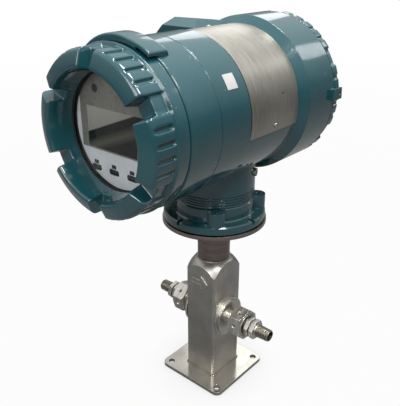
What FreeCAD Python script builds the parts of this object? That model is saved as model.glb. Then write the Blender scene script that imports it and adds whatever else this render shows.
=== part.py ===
import FreeCAD, Part
import math
import os
import re

import Sketcher
from FreeCAD import Placement, Rotation, Vector

# Small-bore flow meter with an upright square sensor casing and a barrel transmitter on its neck.
# Millimetres, +Z up. The origin is the middle of the base plate's underside.
# The flow axis runs along X, the barrel's axis along Y, and the display faces -Y.

SIZES = {
    # base plate, bolted down at its corners
    "plate_side": 84, "plate_thick": 4, "plate_corner": 7, "hole_edge": 8, "hole_radius": 3.5,
    # square sensor casing with a turned dome top
    "casing_wide": 40, "casing_deep": 46, "casing_wall": 2.5, "casing_corner": 4,
    "dome_radius": 31.5, "dome_centre": 118.6, "flow_height": 75.3,
    "arrow_width": 5.5, "arrow_long": 21, "arrow_raise": 0.8, "arrow_height": 121, "arrow_head": 8.5,
    # neck pipe, its weld collar and the steel disc
    "pipe_radius": 17.3, "pipe_wall": 2.6, "pipe_collar_radius": 18.8, "pipe_collar_length": 24,
    "disc_height": 190, "disc_radius": 54, "disc_thick": 4,
    # cast neck flange with its lugs, slots and spigot
    "gasket_thick": 1, "gasket_inset": 2, "flange_radius": 52.5, "flange_thick": 8, "flange_ease": 1.2,
    "hub_radius": 41.5, "hub_height": 14.5, "bolt_lug_radius": 8.5, "bolt_lug_drop": 0.6,
    "bolt_lug_angle": -48, "bolt_radius": 3, "bolt_head_radius": 5, "bolt_head_height": 6,
    "bolt_key_radius": 2.6, "slot_angle": -3, "slot_width": 3.6, "slot_long": 8, "slot_deep": 4,
    "spigot_radius": 30, "spigot_height": 32, "cable_bore_radius": 13, "ring_section": 1.2,
    "ring_place": 8,
    # turned measuring tube, its liner and the discs on the casing's sides
    "tube_radius": 8, "tube_bore": 5.6, "liner_bore": 4.5, "side_disc_radius": 22.5,
    "side_disc_thick": 2.3, "side_step_radius": 19.5, "side_step_thick": 2.2,
    "collar_radius": 12.5, "collar_thick": 4,
    # union nut and threaded connector on each end
    "nut_start": 32.3, "nut_length": 16, "nut_flats": 31, "nut_back": 3, "nut_shoulder_bore": 8.6,
    "nut_ease": 1.6, "nut_face_step": 0.4, "washer_thick": 1.4, "pin_hole_radius": 1.8,
    "pin_hole_depth": 1.7, "nut_tilt_angle": 10, "seal_thick": 1, "seal_inset": 1,
    "thread_radius": 12.7, "thread_long": 6, "connector_hex_flats": 19, "connector_neck_radius": 8.8,
    "connector_groove": 1.5, "connector_groove_deep": 1, "nipple_radius": 6.85, "nipple_length": 15.5,
    "nipple_end": 77.5, "nipple_relief": 1, "nipple_ease": 0.8,
    # electrodes, coils, yoke and board round the tube
    "electrode_radius": 1.5, "electrode_reach": 15, "coil_radius": 13.5, "coil_height": 9,
    "core_radius": 5.5, "yoke_width": 18, "yoke_deep": 39, "yoke_height": 56, "yoke_thick": 3,
    "sensor_board_wide": 16, "sensor_board_deep": 24, "cable_radius": 3.5,
    # barrel housing
    "head_above": 94.5, "front_face": -113, "front_radius": 70.6, "seat_radius": 69.2,
    "seat_front": -37, "seat_back": 37, "rear_radius": 77, "flare_end": 45, "rear_face": 91,
    "bore_radius": 62, "rear_bore_radius": 68, "wall_front": 38, "wall_thick": 6, "edge_ease": 0.8,
    "seam_place": -77, "seam_width": 1.6, "seam_depth": 0.7, "mouth_chamfer": 2,
    "neck_radius": 41, "neck_low_radius": 40.2, "neck_groove_width": 1, "neck_groove_step": 2.6,
    "neck_bore_over": 10,
    # cable entry block on the far side
    "block_out": 84, "block_front": -4, "block_back": 72, "block_ridge": 58, "block_top": 74,
    "block_root": 20, "block_foot": 30, "block_root_ease": 10, "block_toe": 18, "block_toe_drop": 14,
    "block_nose": 11, "block_nose_drop": 7, "block_tail_drop": 8, "block_corner": 7,
    "entry_height": 6, "entry_front": 16, "entry_gap": 40, "entry_radius": 10,
    # plug of the spare cable entry
    "plug_flange": 3, "plug_flange_thick": 1.5, "plug_long": 14, "plug_head": 6, "plug_seal_thick": 1,
    # front cover with its crown
    "cover_gap": 0.5, "cover_lip_radius": 69.6, "grip_front": -147, "grip_radius": 68.8,
    "bead_place": -126.5, "bead_radius": 71, "bead_ease": 1.5, "crown_front": -155, "crown_inner": 54,
    "rim_front": -150, "rim_radius": 66.8, "notch_depth": 15, "notch_angle": 13,
    "notch_floor_radius": 66.8, "groove_angle": 3, "land_angle": 9.8, "groove_floor_radius": 67,
    "groove_front": -146.2, "groove_back": -127.6, "cut_over": 6,
    "window_shoulder": -131, "window_lip_radius": 49.3, "window_seat_radius": 57.3,
    "spigot_gap": 0.3, "cover_spigot": 13, "cover_spigot_wall": 4.4,
    "recess_wall": 3, "recess_deep": 2,
    # window, its gasket and its retaining ring
    "gasket_bore": 48.9, "window_gasket_thick": 0.9, "glass_thick": 3.5, "window_gap": 0.3,
    "ring_bore": 50.4, "ring_thick": 4,
    # rear cover
    "rear_grip_length": 9.3, "rear_crown_inner": 60, "rear_crown_length": 6, "rear_plate": 4,
    "rear_notch_deep": 2, "rear_groove_deep": 1.6, "rear_edge": 1.2,
    # lock lugs and lock screws
    "lug_disc_radius": 52, "lug_disc_offset": 23.5, "lug_front": -122, "lug_back": -104,
    "lug_clear": 0.6, "lug_angle": 93, "ear_thick": 4.4, "ear_angle": 60, "ear_sweep_angle": 21,
    "ear_slot_thick": 2, "ear_slot_angle": 11, "lock_radius": 2, "rear_lug_reach": 4,
    "rear_lug_width": 11, "rear_lug_foot": 8, "rear_lug_sink": 3, "rear_lug_angle": 3,
    # nameplate and label
    "nameplate_half": 36.3, "nameplate_thick": 0.6, "nameplate_low_angle": -12.8,
    "nameplate_sweep_angle": 116.8, "skin_gap": 0.1, "rivet_radius": 2.6, "rivet_height": 1.4,
    "rivet_place": 1.2, "rivet_low_angle": -8.2, "rivet_sweep_angle": 107, "label_front": -62,
    "label_long": 13, "label_low_angle": 26.4, "label_sweep_angle": 10.8, "label_thick": 0.3,
    # display and its keys
    "display_face": -126, "display_radius": 49.7, "display_depth": 22, "panel_thick": 1,
    "frame_edge": 5.7, "frame_low": -20.5, "frame_sunk": 0.3, "spot_radius": 3.6, "spot_place": 24,
    "spot_height": 31.6, "lcd_wide": 72.4, "lcd_low": -19.3, "lcd_tall": 35.5, "lcd_sunk": 0.5,
    "lcd_thick": 4, "key_centre": -5.6, "key_pitch": 22, "key_high": -32, "key_wide": 4.8,
    "key_tall": 2.1, "oval_low": -36.6, "oval_wide": 7.6, "oval_tall": 3.2, "key_deep": 3,
    # boards and the parts on them
    "board_radius": 52, "board_thick": 1.6, "board_flat": 44, "first_board": -84,
    "second_board": -46, "third_board": -6, "post_radius": 3, "post_place": 30,
    "transformer_wide": 36, "transformer_deep": 22, "transformer_tall": 28,
    "can_radius": 6, "can_long": 20, "can_pitch": 15, "can_drop": 4,
    # terminal block behind the wall
    "terminal_long": 84, "terminal_tall": 26, "terminal_deep": 16, "terminal_pitch": 10,
    "clamp_radius": 3, "clamp_height": 1.5,
    # screw in the neck's wall that stops the head turning
    "neck_screw_above": 28.5, "neck_screw_angle": 21, "neck_screw_radius": 2.5, "neck_screw_head": 4,
    "neck_screw_head_height": 2.5,
    # free space between pieces
    "fit_gap": 0.3, "turn_gap": 0.06,
}

doc = FreeCAD.newDocument("FlowMeter")
sheet = doc.addObject("Spreadsheet::Sheet", "Sizes")
for row, (alias, amount) in enumerate(SIZES.items(), start=1):
    sheet.set(f"A{row}", alias)
    sheet.set(f"B{row}", str(amount))
    sheet.setAlias(f"B{row}", alias)
doc.recompute()

# Heights and places that several pieces share, as formulas of the sizes.
FLOW = "flow_height"
FLANGE = "disc_height + disc_thick + gasket_thick"
HUB = f"{FLANGE} + flange_thick"
HUB_TOP = f"{HUB} + hub_height"
HEAD = f"({HUB_TOP} + head_above)"
LUG_TOP = f"{HUB_TOP} - bolt_lug_drop"
BOLT_SEAT = f"{LUG_TOP} - bolt_head_height"
BOLT_CIRCLE = "(flange_radius - bolt_lug_radius)"
NECK_LOW = f"{HUB_TOP} + fit_gap"
FACE = "casing_wide / 2"
TUBE_COLLAR = "nut_start + nut_back + washer_thick + 2 * fit_gap"
SEAL = f"{TUBE_COLLAR} + collar_thick"
CONNECTOR = f"{SEAL} + seal_thick"
LOCK_PLACE = "(lug_front + front_face) / 2"
REAR_LOCK_PLACE = "rear_face + rear_grip_length / 2 - rear_edge"

# The ways that pieces lie: a quarter turn from +Z to +X or to +Y, and the axes that they swing about.
TURN_X = ((0, 1, 0), 90)
TURN_Y = ((1, 0, 0), -90)
FLOW_AXIS = ((1, 0, 0), (0, 0, FLOW))
NECK_AXIS = ((0, 0, 1), (0, 0, 0))
BARREL_AXIS = ((0, -1, 0), (0, 0, HEAD))
BARREL = BARREL_AXIS[1]

NOTCHES = 6
HALF_STEP = f"{180 / NOTCHES}"
GROOVE_STEPS = (-1.5, -0.5, 0.5, 1.5)
CLAMPS = 8
parts = {}


def formula(text):
    """Return the text with every size's name pointing at the sheet."""
    return re.sub(r"[a-z_]+", lambda word: f"Sizes.{word[0]}" if word[0] in SIZES else word[0], str(text))


def number(text):
    """Return a formula's present value."""
    return float(sheet.evalExpression(formula(text)))


def place(item, at=(0, 0, 0), turn=None):
    """Turn an object by (axis, degrees) and bind its base point to three formulas."""
    axis, degrees = turn or ((0, 0, 1), 0)
    item.Placement = Placement(Vector(0, 0, 0), Rotation(Vector(*axis), degrees))
    for letter, text in zip("xyz", at):
        item.setExpression(f"Placement.Base.{letter}", formula(text))
    return item


def primitive(kind, name, at=(0, 0, 0), turn=None, **sizes):
    """Add a box, cylinder or the like with its sizes and place bound to formulas."""
    item = doc.addObject(f"Part::{kind}", name)
    for key, text in sizes.items():
        item.setExpression(key, formula(text))
    return place(item, at, turn)


def box(name, at, wide, deep, tall, turn=None):
    """Add a box from its low corner."""
    return primitive("Box", name, at, turn, Length=wide, Width=deep, Height=tall)


def rod(name, radius, length, at=(0, 0, 0), turn=None, angle=360):
    """Add a cylinder that starts at a point."""
    return primitive("Cylinder", name, at, turn, Radius=radius, Height=length, Angle=angle)


def hexagon(name, flats, length, at=(0, 0, 0), turn=None, sides=6):
    """Add a prism with even sides, given its width across flats."""
    corner = f"({flats}) / 2 / cos(180 / {sides})"
    item = doc.addObject("Part::Prism", name)
    item.Polygon = sides
    item.setExpression("Circumradius", formula(corner))
    item.setExpression("Height", formula(length))
    return place(item, at, turn)


def joined(kind, name, pieces):
    """Fuse, intersect or group several objects."""
    item = doc.addObject(f"Part::{kind}", name)
    if kind == "Compound":
        item.Links = list(pieces)
    else:
        item.Shapes = list(pieces)
    return item


def fuse(name, *pieces):
    return joined("MultiFuse", name, pieces)


def common(name, *pieces):
    return joined("MultiCommon", name, pieces)


def group(name, *pieces):
    return joined("Compound", name, pieces)


def cut(name, base, *tools):
    """Cut one or more tools from a base."""
    item = doc.addObject("Part::Cut", name)
    item.Base = base
    item.Tool = tools[0] if len(tools) == 1 else fuse(f"{name}_tools", *tools)
    return item


def ring(name, outer, inner, length, at=(0, 0, 0), turn=None):
    """Add a tube."""
    outside = rod(f"{name}_outer", outer, length, at, turn)
    return cut(name, outside, rod(f"{name}_inner", inner, length, at, turn))


def origin_plane(body, role):
    return next(feature for feature in body.Origin.OriginFeatures if feature.Role == role)


def outline(body, name, role, corners, offset=None):
    """Draw a closed outline on one of the body's origin planes."""
    sketch = body.newObject("Sketcher::SketchObject", name)
    sketch.AttachmentSupport = [(origin_plane(body, role), "")]
    sketch.MapMode = "FlatFace"
    if offset:
        sketch.setExpression("AttachmentOffset.Base.z", formula(offset))
    add_loop(sketch, corners)
    return sketch


def add_loop(sketch, corners):
    """Add a closed loop of straight sides to a sketch; its corners are pairs of formulas."""
    first = sketch.GeometryCount
    count = len(corners)
    points = [Vector(number(across), number(up), 0) for across, up in corners]
    for index, point in enumerate(points):
        sketch.addGeometry(Part.LineSegment(point, points[(index + 1) % count]), False)
    for index in range(count):
        sketch.addConstraint(Sketcher.Constraint("Coincident", first + index, 2, first + (index + 1) % count, 1))
    for index, (point, pair) in enumerate(zip(points, corners)):
        for kind, amount, text in zip(("DistanceX", "DistanceY"), point, pair):
            row = sketch.addConstraint(Sketcher.Constraint(kind, -1, 1, first + index, 1, amount))
            sketch.setExpression(f"Constraints[{row}]", formula(text))


def turned(name, axis, profile, at=(0, 0, 0)):
    """Revolve a profile of (place along the axis, radius) pairs about X, Y or Z."""
    body = doc.addObject("PartDesign::Body", name)
    corners = [(radius, along) for along, radius in profile] if axis == "Z" else profile
    sketch = outline(body, f"{name}_profile", "YZ_Plane" if axis == "Y" else "XZ_Plane", corners)
    turn = body.newObject("PartDesign::Revolution", f"{name}_turn")
    turn.Profile = sketch
    turn.ReferenceAxis = (sketch, ["V_Axis" if axis == "Z" else "H_Axis"])
    turn.Angle = 360
    return place(body, at)


def padded(name, role, corners, length, offset=None, at=(0, 0, 0)):
    """Pad an outline from one of the origin planes, shifted along its normal."""
    body = doc.addObject("PartDesign::Body", name)
    sketch = outline(body, f"{name}_outline", role, corners, offset)
    pad = body.newObject("PartDesign::Pad", f"{name}_pad")
    pad.Profile = sketch
    pad.setExpression("Length", formula(length))
    return place(body, at)


def node(name, item):
    """Keep an object as a finished piece under its own name."""
    item.Label = name
    parts[name] = item
    return item


def swung(name, item, about, angle):
    """Swing an object about one of the axes by an angle that follows the sizes."""
    axis, at = about
    carrier = place(group(name, item), at)
    carrier.Placement.Rotation = Rotation(Vector(*axis), 1)
    carrier.setExpression("Placement.Rotation.Angle", formula(angle))
    return carrier


def polar(radius, angle):
    """Return a point in a cross-section as two formulas."""
    return f"({radius}) * cos({angle})", f"({radius}) * sin({angle})"


def quarters(first, make):
    """Make a piece four times round the neck, each a quarter turn further than the last."""
    return [swung("quarter", make(), NECK_AXIS, f"{first} + {90 * step}") for step in range(4)]


def base_plate():
    """Square plate with rounded corners and four fixing holes."""
    half = "plate_side / 2"
    plate = box("plate_blank", (f"-{half}", f"-{half}", 0), "plate_side", "plate_side", "plate_thick")
    doc.recompute()
    rounded = doc.addObject("Part::Fillet", "plate_rounded")
    rounded.Base = plate
    rounded.Edges = [(edge, number("plate_corner"), number("plate_corner")) for edge in upright_edges(plate)]
    holes = []
    for right in (-1, 1):
        for back in (-1, 1):
            at = (f"{right} * (plate_side / 2 - hole_edge)", f"{back} * (plate_side / 2 - hole_edge)", 0)
            holes.append(rod("plate_hole", "hole_radius", "plate_thick", at))
    node("base_plate", cut("plate", rounded, *holes))


def upright_edges(item):
    """Return the numbers of an object's edges that run along Z."""
    found = []
    for index, edge in enumerate(item.Shape.Edges, start=1):
        first, last = edge.Vertexes[0].Point, edge.Vertexes[-1].Point
        if abs(first.x - last.x) < 1e-6 and abs(first.y - last.y) < 1e-6:
            found.append(index)
    return found


def rounded_block(name, wide, deep, low, high, corner):
    """Upright block with its four upright edges rounded."""
    at = (f"-({wide}) / 2", f"-({deep}) / 2", low)
    blank = box(f"{name}_blank", at, wide, deep, f"({high}) - ({low})")
    doc.recompute()
    item = doc.addObject("Part::Fillet", name)
    item.Base = blank
    item.Edges = [(edge, number(corner), number(corner)) for edge in upright_edges(blank)]
    return item


def sensor_casing():
    """Square casing, open at the foot, with a domed top and a hole for the tube in each side."""
    top = "dome_centre + dome_radius"
    outer = common("casing_outer",
                   rounded_block("casing_block", "casing_wide", "casing_deep", "plate_thick", top, "casing_corner"),
                   dome("casing_dome", "dome_radius"))
    wide, deep = "casing_wide - 2 * casing_wall", "casing_deep - 2 * casing_wall"
    corner = "casing_corner - casing_wall / 2"
    inner = common("casing_inner", rounded_block("casing_hollow", wide, deep, "plate_thick", top, corner),
                   dome("casing_hollow_dome", "dome_radius - casing_wall"))
    tube_hole = rod("casing_tube_hole", "tube_radius + skin_gap", "casing_wide", (f"-{FACE}", 0, FLOW), TURN_X)
    neck_hole = rod("casing_neck_hole", "pipe_radius + skin_gap", "dome_radius", (0, 0, "dome_centre"))
    shell = cut("casing_shell", outer, inner, tube_hole, neck_hole)
    node("sensor_casing", fuse("casing", shell, flow_arrow()))


def dome(name, radius):
    """Round bar with a ball-shaped end, which trims the casing's top."""
    bar = rod(f"{name}_bar", radius, "dome_centre", (0, 0, 0))
    ball = primitive("Sphere", f"{name}_ball", (0, 0, "dome_centre"), Radius=radius)
    return fuse(name, bar, ball)


def flow_arrow():
    """Raised arrow on the front face that points along the flow."""
    tip = "arrow_long / 2"
    neck = f"({tip} - arrow_head)"
    half = "arrow_width / 2"
    corners = [(f"-{tip}", f"-{half}"), (neck, f"-{half}"), (neck, "-arrow_head"), (tip, 0),
               (neck, "arrow_head"), (neck, half), (f"-{tip}", half)]
    return padded("casing_arrow", "XZ_Plane", corners, "arrow_raise + casing_wall / 2",
                  "casing_deep / 2 - casing_wall / 2", (0, 0, "arrow_height"))


def neck_pieces():
    """Neck pipe with its weld collar, the steel disc on it and the flange gasket."""
    low = "dome_centre + sqrt(dome_radius ^ 2 - pipe_radius ^ 2) - casing_wall"
    wide = "pipe_collar_radius"
    collar = "disc_height - pipe_collar_length"
    inner = "pipe_radius - pipe_wall"
    profile = [(low, inner), (low, "pipe_radius"), (collar, "pipe_radius"), (collar, wide),
               ("disc_height", wide), ("disc_height", inner)]
    node("neck_pipe", turned("pipe", "Z", profile))
    disc = ring("disc_blank", "disc_radius", inner, "disc_thick", (0, 0, "disc_height"))
    gasket = ring("gasket_blank", "flange_radius - gasket_inset", "cable_bore_radius + recess_wall",
                  "gasket_thick", (0, 0, "disc_height + disc_thick"))
    node("neck_disc", cut("disc", disc, *bolt_rods("disc_hole", "bolt_radius + fit_gap")))
    node("flange_gasket", cut("gasket", gasket, *bolt_rods("gasket_hole", "bolt_radius + fit_gap")))


def bolt_rods(name, radius):
    """Four upright rods on the flange's bolt circle, from under the disc to the seat of the bolt heads."""
    def make():
        return rod(name, radius, f"{BOLT_SEAT} - disc_height", (BOLT_CIRCLE, 0, "disc_height"))
    return quarters("bolt_lug_angle", make)


def flange_profile():
    """Section of the flange: foot, hub and the spigot with the groove of its seal ring."""
    bore, ease = "cable_bore_radius", "flange_ease"
    low = f"{HUB_TOP} + ring_place"
    high = f"{low} + 2 * ring_section + fit_gap"
    floor = "spigot_radius - 2 * ring_section"
    top = f"{HUB_TOP} + spigot_height"
    return [(FLANGE, bore), (FLANGE, "flange_radius"), (f"{HUB} - {ease}", "flange_radius"),
            (HUB, f"flange_radius - {ease}"), (HUB, f"hub_radius + {ease}"), (f"{HUB} + {ease}", "hub_radius"),
            (f"{HUB_TOP} - {ease}", "hub_radius"), (HUB_TOP, f"hub_radius - {ease}"),
            (HUB_TOP, "spigot_radius"), (low, "spigot_radius"), (low, floor), (high, floor),
            (high, "spigot_radius"), (top, "spigot_radius"), (top, bore)]


def bolt_lug():
    """Upright lug with a round nose, rooted in the hub."""
    low = f"{HUB} - flange_ease"
    tall = f"{LUG_TOP} - ({low})"
    nose = rod("bolt_lug_nose", "bolt_lug_radius", tall, (BOLT_CIRCLE, 0, low))
    root = box("bolt_lug_root", ("spigot_radius", "-bolt_lug_radius", low),
               f"{BOLT_CIRCLE} - spigot_radius", "2 * bolt_lug_radius", tall)
    return fuse("bolt_lug", nose, root)


def neck_flange():
    """Cast flange: round foot and hub, four lugs for the bolts, and the spigot that the head turns on."""
    def counterbore():
        return rod("flange_counterbore", "bolt_head_radius + fit_gap", "2 * bolt_head_height",
                   (BOLT_CIRCLE, 0, BOLT_SEAT))

    def slot():
        return box("flange_slot", ("flange_radius - slot_long", "-slot_width / 2", f"{HUB} - slot_deep"),
                   "2 * slot_long", "slot_width", "2 * slot_deep")
    body = fuse("flange_body", turned("flange_turned", "Z", flange_profile()),
                *quarters("bolt_lug_angle", bolt_lug))
    tools = [*bolt_rods("flange_hole", "bolt_radius + fit_gap"), *quarters("bolt_lug_angle", counterbore),
             *quarters("slot_angle", slot)]
    node("neck_flange", cut("flange", body, *tools))
    middle = f"{HUB_TOP} + ring_place + ring_section + fit_gap / 2"
    node("neck_seal", primitive("Torus", "neck_seal_ring", (0, 0, middle), Radius1="spigot_radius - ring_section",
                                Radius2="ring_section - skin_gap / 2"))


def socket_bolt():
    """Socket head bolt from its seat in a lug down through the disc."""
    head = rod("bolt_head", "bolt_head_radius", "bolt_head_height", (BOLT_CIRCLE, 0, BOLT_SEAT))
    shank = rod("bolt_shank", "bolt_radius", f"{BOLT_SEAT} - disc_height", (BOLT_CIRCLE, 0, "disc_height"))
    key = hexagon("bolt_key", "2 * bolt_key_radius", "bolt_head_height / 2",
                  (BOLT_CIRCLE, 0, f"{BOLT_SEAT} + bolt_head_height / 2"))
    return cut("flange_bolt", fuse("bolt_blank", head, shank), key)


def flange_bolts():
    """Four socket bolts, sunk in the flange's lugs."""
    node("flange_bolts", group("bolts", *quarters("bolt_lug_angle", socket_bolt)))


def measuring_tube():
    """Straight tube with a collar at each end, its liner and the two electrodes across it."""
    end = f"({SEAL})"
    collar = f"({TUBE_COLLAR})"
    profile = [(f"-{end}", "tube_bore"), (f"-{end}", "collar_radius"), (f"-{collar}", "collar_radius"),
               (f"-{collar}", "tube_radius"), (collar, "tube_radius"), (collar, "collar_radius"),
               (end, "collar_radius"), (end, "tube_bore")]
    tube = turned("tube_blank", "X", profile, (0, 0, FLOW))
    across = (0, "-tube_radius", FLOW)
    hole = "electrode_radius + skin_gap"
    node("measuring_tube", cut("tube", tube, rod("tube_cross", hole, "2 * tube_radius", across, TURN_Y)))
    liner = ring("liner_blank", "tube_bore - skin_gap", "liner_bore", f"2 * {end}", (f"-{end}", 0, FLOW),
                 TURN_X)
    node("tube_liner", cut("liner", liner, rod("liner_cross", hole, "2 * tube_radius", across, TURN_Y)))
    long = "electrode_reach - liner_bore"
    pins = [rod("electrode_pin", "electrode_radius", long, (0, start, FLOW), TURN_Y)
            for start in ("liner_bore", "-electrode_reach")]
    node("electrodes", group("electrode_pair", *pins))


def coils():
    """A coil on a steel core above and below the tube, joined outside by the yoke."""
    reach = "yoke_height / 2 - yoke_thick"
    for name, side in (("upper", 1), ("lower", -1)):
        core_low = "tube_radius + fit_gap" if side > 0 else f"-({reach})"
        at = (0, 0, f"{FLOW} + ({core_low})")
        node(f"{name}_core", rod(f"core_{name}", "core_radius", f"{reach} - tube_radius - fit_gap", at))
        coil_low = f"{reach} - coil_height - fit_gap" if side > 0 else f"-({reach} - fit_gap)"
        at = (0, 0, f"{FLOW} + ({coil_low})")
        bore = "core_radius + fit_gap"
        node(f"{name}_coil", ring(f"coil_{name}", "coil_radius", bore, "coil_height", at))
    corner = ("-yoke_width / 2", "-yoke_deep / 2", f"{FLOW} - yoke_height / 2")
    inside = (corner[0], f"{corner[1]} + yoke_thick", f"{corner[2]} + yoke_thick")
    outer = box("yoke_outer", corner, "yoke_width", "yoke_deep", "yoke_height")
    inner = box("yoke_inner", inside, "yoke_width", "yoke_deep - 2 * yoke_thick", "yoke_height - 2 * yoke_thick")
    node("coil_yoke", cut("yoke", outer, inner))


def sensor_wiring():
    """Small board on the yoke, the signal cable up the neck and the plug that seals it in the flange."""
    top = f"{FLOW} + yoke_height / 2"
    wide, deep = "sensor_board_wide", "sensor_board_deep"
    corner = (f"-{wide} / 2", f"-{deep} / 2", top)
    node("sensor_board", box("sensor_board_blank", corner, wide, deep, "board_thick"))
    length = f"{HUB_TOP} + spigot_height - ({top} + board_thick)"
    node("signal_cable", rod("cable", "cable_radius", length, (0, 0, f"{top} + board_thick")))
    node("cable_seal", ring("cable_plug", "cable_bore_radius - fit_gap", "cable_radius + skin_gap",
                            "flange_thick", (0, 0, FLANGE)))


def process_side(side, turn):
    """Pieces of one process end, built along +X and turned to the side where they sit."""
    def finish(name, item):
        item.Placement = turn.multiply(item.Placement)
        node(f"{side}_{name}", item)

    step = f"{FACE} + side_disc_thick"
    bore = "tube_radius + skin_gap"
    top = f"{step} + side_step_thick"
    profile = [(FACE, bore), (FACE, "side_disc_radius"), (step, "side_disc_radius"),
               (step, "side_step_radius"), (top, "side_step_radius"), (top, bore)]
    finish("side_disc", group(f"{side}_disc_set", turned(f"{side}_disc", "X", profile, (0, 0, FLOW))))
    finish("union_nut", union_nut(side))
    washer = ring(f"{side}_washer_blank", "collar_radius", "nut_shoulder_bore", "washer_thick",
                  ("nut_start + nut_back + fit_gap", 0, FLOW), TURN_X)
    finish("thrust_washer", washer)
    finish("connector_seal", ring(f"{side}_seal_blank", "collar_radius - seal_inset", "tube_bore", "seal_thick",
                                  (SEAL, 0, FLOW), TURN_X))
    finish("connector", connector(side))


def union_nut(side):
    """Hexagon nut with eased ends, a shoulder at the back and a blind pin hole in each flat."""
    flats = hexagon(f"{side}_nut_hex", "nut_flats", "nut_length", ("nut_start", 0, 0), TURN_X)
    blank = swung(f"{side}_nut_tilted", flats, FLOW_AXIS, "nut_tilt_angle")
    corner = "nut_flats / 2 / cos(30)"
    end = "nut_start + nut_length"
    face = "nut_flats / 2 - nut_face_step"
    profile = [("nut_start", 0), ("nut_start", face), ("nut_start + nut_ease", corner),
               (f"{end} - nut_ease", corner), (end, face), (end, 0)]
    eased = common(f"{side}_nut_eased", blank, turned(f"{side}_nut_ease", "X", profile, (0, 0, FLOW)))
    tools = [rod(f"{side}_nut_shoulder", "nut_shoulder_bore", "nut_length", ("nut_start", 0, FLOW), TURN_X),
             rod(f"{side}_nut_thread", "thread_radius + fit_gap", "nut_length - nut_back",
                 ("nut_start + nut_back", 0, FLOW), TURN_X)]
    for flat in range(6):
        hole = rod(f"{side}_pin_hole", "pin_hole_radius", "2 * pin_hole_depth",
                   ("nut_start + nut_length / 2", "nut_flats / 2 - pin_hole_depth", 0), TURN_Y)
        tools.append(swung(f"{side}_pin_hole_round", hole, FLOW_AXIS, f"nut_tilt_angle + {60 * flat}"))
    return cut(f"{side}_nut", eased, *tools)


def connector_profile():
    """Outside of the connector along its axis: thread, neck, two lands with a groove between, and nipple."""
    neck = f"({CONNECTOR}) + thread_long"
    start = "nut_start + nut_length + connector_groove"
    end = "nipple_end - nipple_length - nipple_relief"
    middle = f"(({start}) + ({end}) - connector_groove) / 2"
    corner = "connector_hex_flats / 2 / cos(30)"
    groove = "connector_hex_flats / 2 - connector_groove_deep"
    root = "nipple_radius - nipple_ease"
    thread = f"{end} + nipple_relief"
    return [(CONNECTOR, 0), (CONNECTOR, "thread_radius"), (neck, "thread_radius"),
            (neck, "connector_neck_radius"), (start, "connector_neck_radius"), (start, corner),
            (middle, corner), (middle, groove), (f"{middle} + connector_groove", groove),
            (f"{middle} + connector_groove", corner), (end, corner), (end, root), (thread, root),
            (f"{thread} + nipple_ease", "nipple_radius"), ("nipple_end - nipple_ease", "nipple_radius"),
            ("nipple_end", root), ("nipple_end", 0)]


def connector(side):
    """Turned connector: threaded head inside the nut, two hexagon lands with grooves, and a bored nipple."""
    blank = turned(f"{side}_connector_blank", "X", connector_profile(), (0, 0, FLOW))
    start = "nut_start + nut_length"
    flats = hexagon(f"{side}_connector_flats", "connector_hex_flats", f"nipple_end - ({start})", (start, 0, 0),
                    TURN_X)
    tilted = swung(f"{side}_connector_tilted", flats, FLOW_AXIS, "nut_tilt_angle")
    keep = rod(f"{side}_connector_keep", "thread_radius + fit_gap",
               f"{start} + connector_groove - ({CONNECTOR})", (CONNECTOR, 0, FLOW), TURN_X)
    shape = common(f"{side}_connector_shape", blank, fuse(f"{side}_connector_limit", tilted, keep))
    bore = rod(f"{side}_connector_bore", "liner_bore", f"nipple_end - ({CONNECTOR})", (CONNECTOR, 0, FLOW),
               TURN_X)
    return cut(f"{side}_connector_piece", shape, bore)


def radial_rod(name, radius, start, length, along, angle):
    """Rod that points out from the barrel's axis at a place along it and an angle round it."""
    return swung(name, rod(f"{name}_blank", radius, length, (start, along, 0), TURN_X), BARREL_AXIS, angle)


def barrel_profile():
    """Outside of the barrel: front body with a seam, nameplate seat, flare and wider rear body."""
    ease = "edge_ease"
    return [("front_face", 0), ("front_face", f"front_radius - {ease}"),
            (f"front_face + {ease}", "front_radius"),
            ("seam_place - seam_width / 2", "front_radius"), ("seam_place", "front_radius - seam_depth"),
            ("seam_place + seam_width / 2", "front_radius"),
            ("seat_front - (front_radius - seat_radius)", "front_radius"), ("seat_front", "seat_radius"),
            ("seat_back", "seat_radius"), ("flare_end", "rear_radius"), (f"rear_face - {ease}", "rear_radius"),
            ("rear_face", f"rear_radius - {ease}"), ("rear_face", 0)]


def neck_profile():
    """Neck below the barrel, with four turned grooves at its foot."""
    profile = [(NECK_LOW, 0), (NECK_LOW, "neck_radius")]
    for groove in range(1, 5):
        middle = f"{NECK_LOW} + {groove} * neck_groove_step"
        low, high = f"{middle} - neck_groove_width / 2", f"{middle} + neck_groove_width / 2"
        profile += [(low, "neck_radius"), (low, "neck_low_radius"), (high, "neck_low_radius"),
                    (high, "neck_radius")]
    return profile + [(HEAD, "neck_radius"), (HEAD, 0)]


def entry_block():
    """Cast block on the far side for the cable entries, sloped above, below and at its front corner."""
    foot = "-block_foot - block_toe_drop"
    across = [("-block_root", "block_top - block_root_ease"), ("-block_root - block_root_ease", "block_top"),
              ("-block_ridge", "block_top"), ("-block_out", "block_top - (block_out - block_ridge)"),
              ("-block_out", "-block_foot"), ("-block_out + block_toe", foot), ("-block_root", foot)]
    along = [("block_front", foot), ("block_front", "block_top - block_nose_drop"),
             ("block_front + block_nose", "block_top"), ("block_back", "block_top - block_tail_drop"),
             ("block_back", foot)]
    plan = [("-block_root", "block_front"), ("-block_out + block_corner", "block_front"),
            ("-block_out", "block_front + block_corner"), ("-block_out", "block_back"),
            ("-block_root", "block_back")]
    sides = common("entry_block_sides",
                   padded("block_across", "XZ_Plane", across, "block_back - block_front", "-block_back", BARREL),
                   padded("block_along", "YZ_Plane", along, "block_out - block_root", "-block_out", BARREL))
    return common("entry_block", sides,
                  padded("block_plan", "XY_Plane", plan, f"block_top - ({foot})", foot, BARREL))


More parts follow.
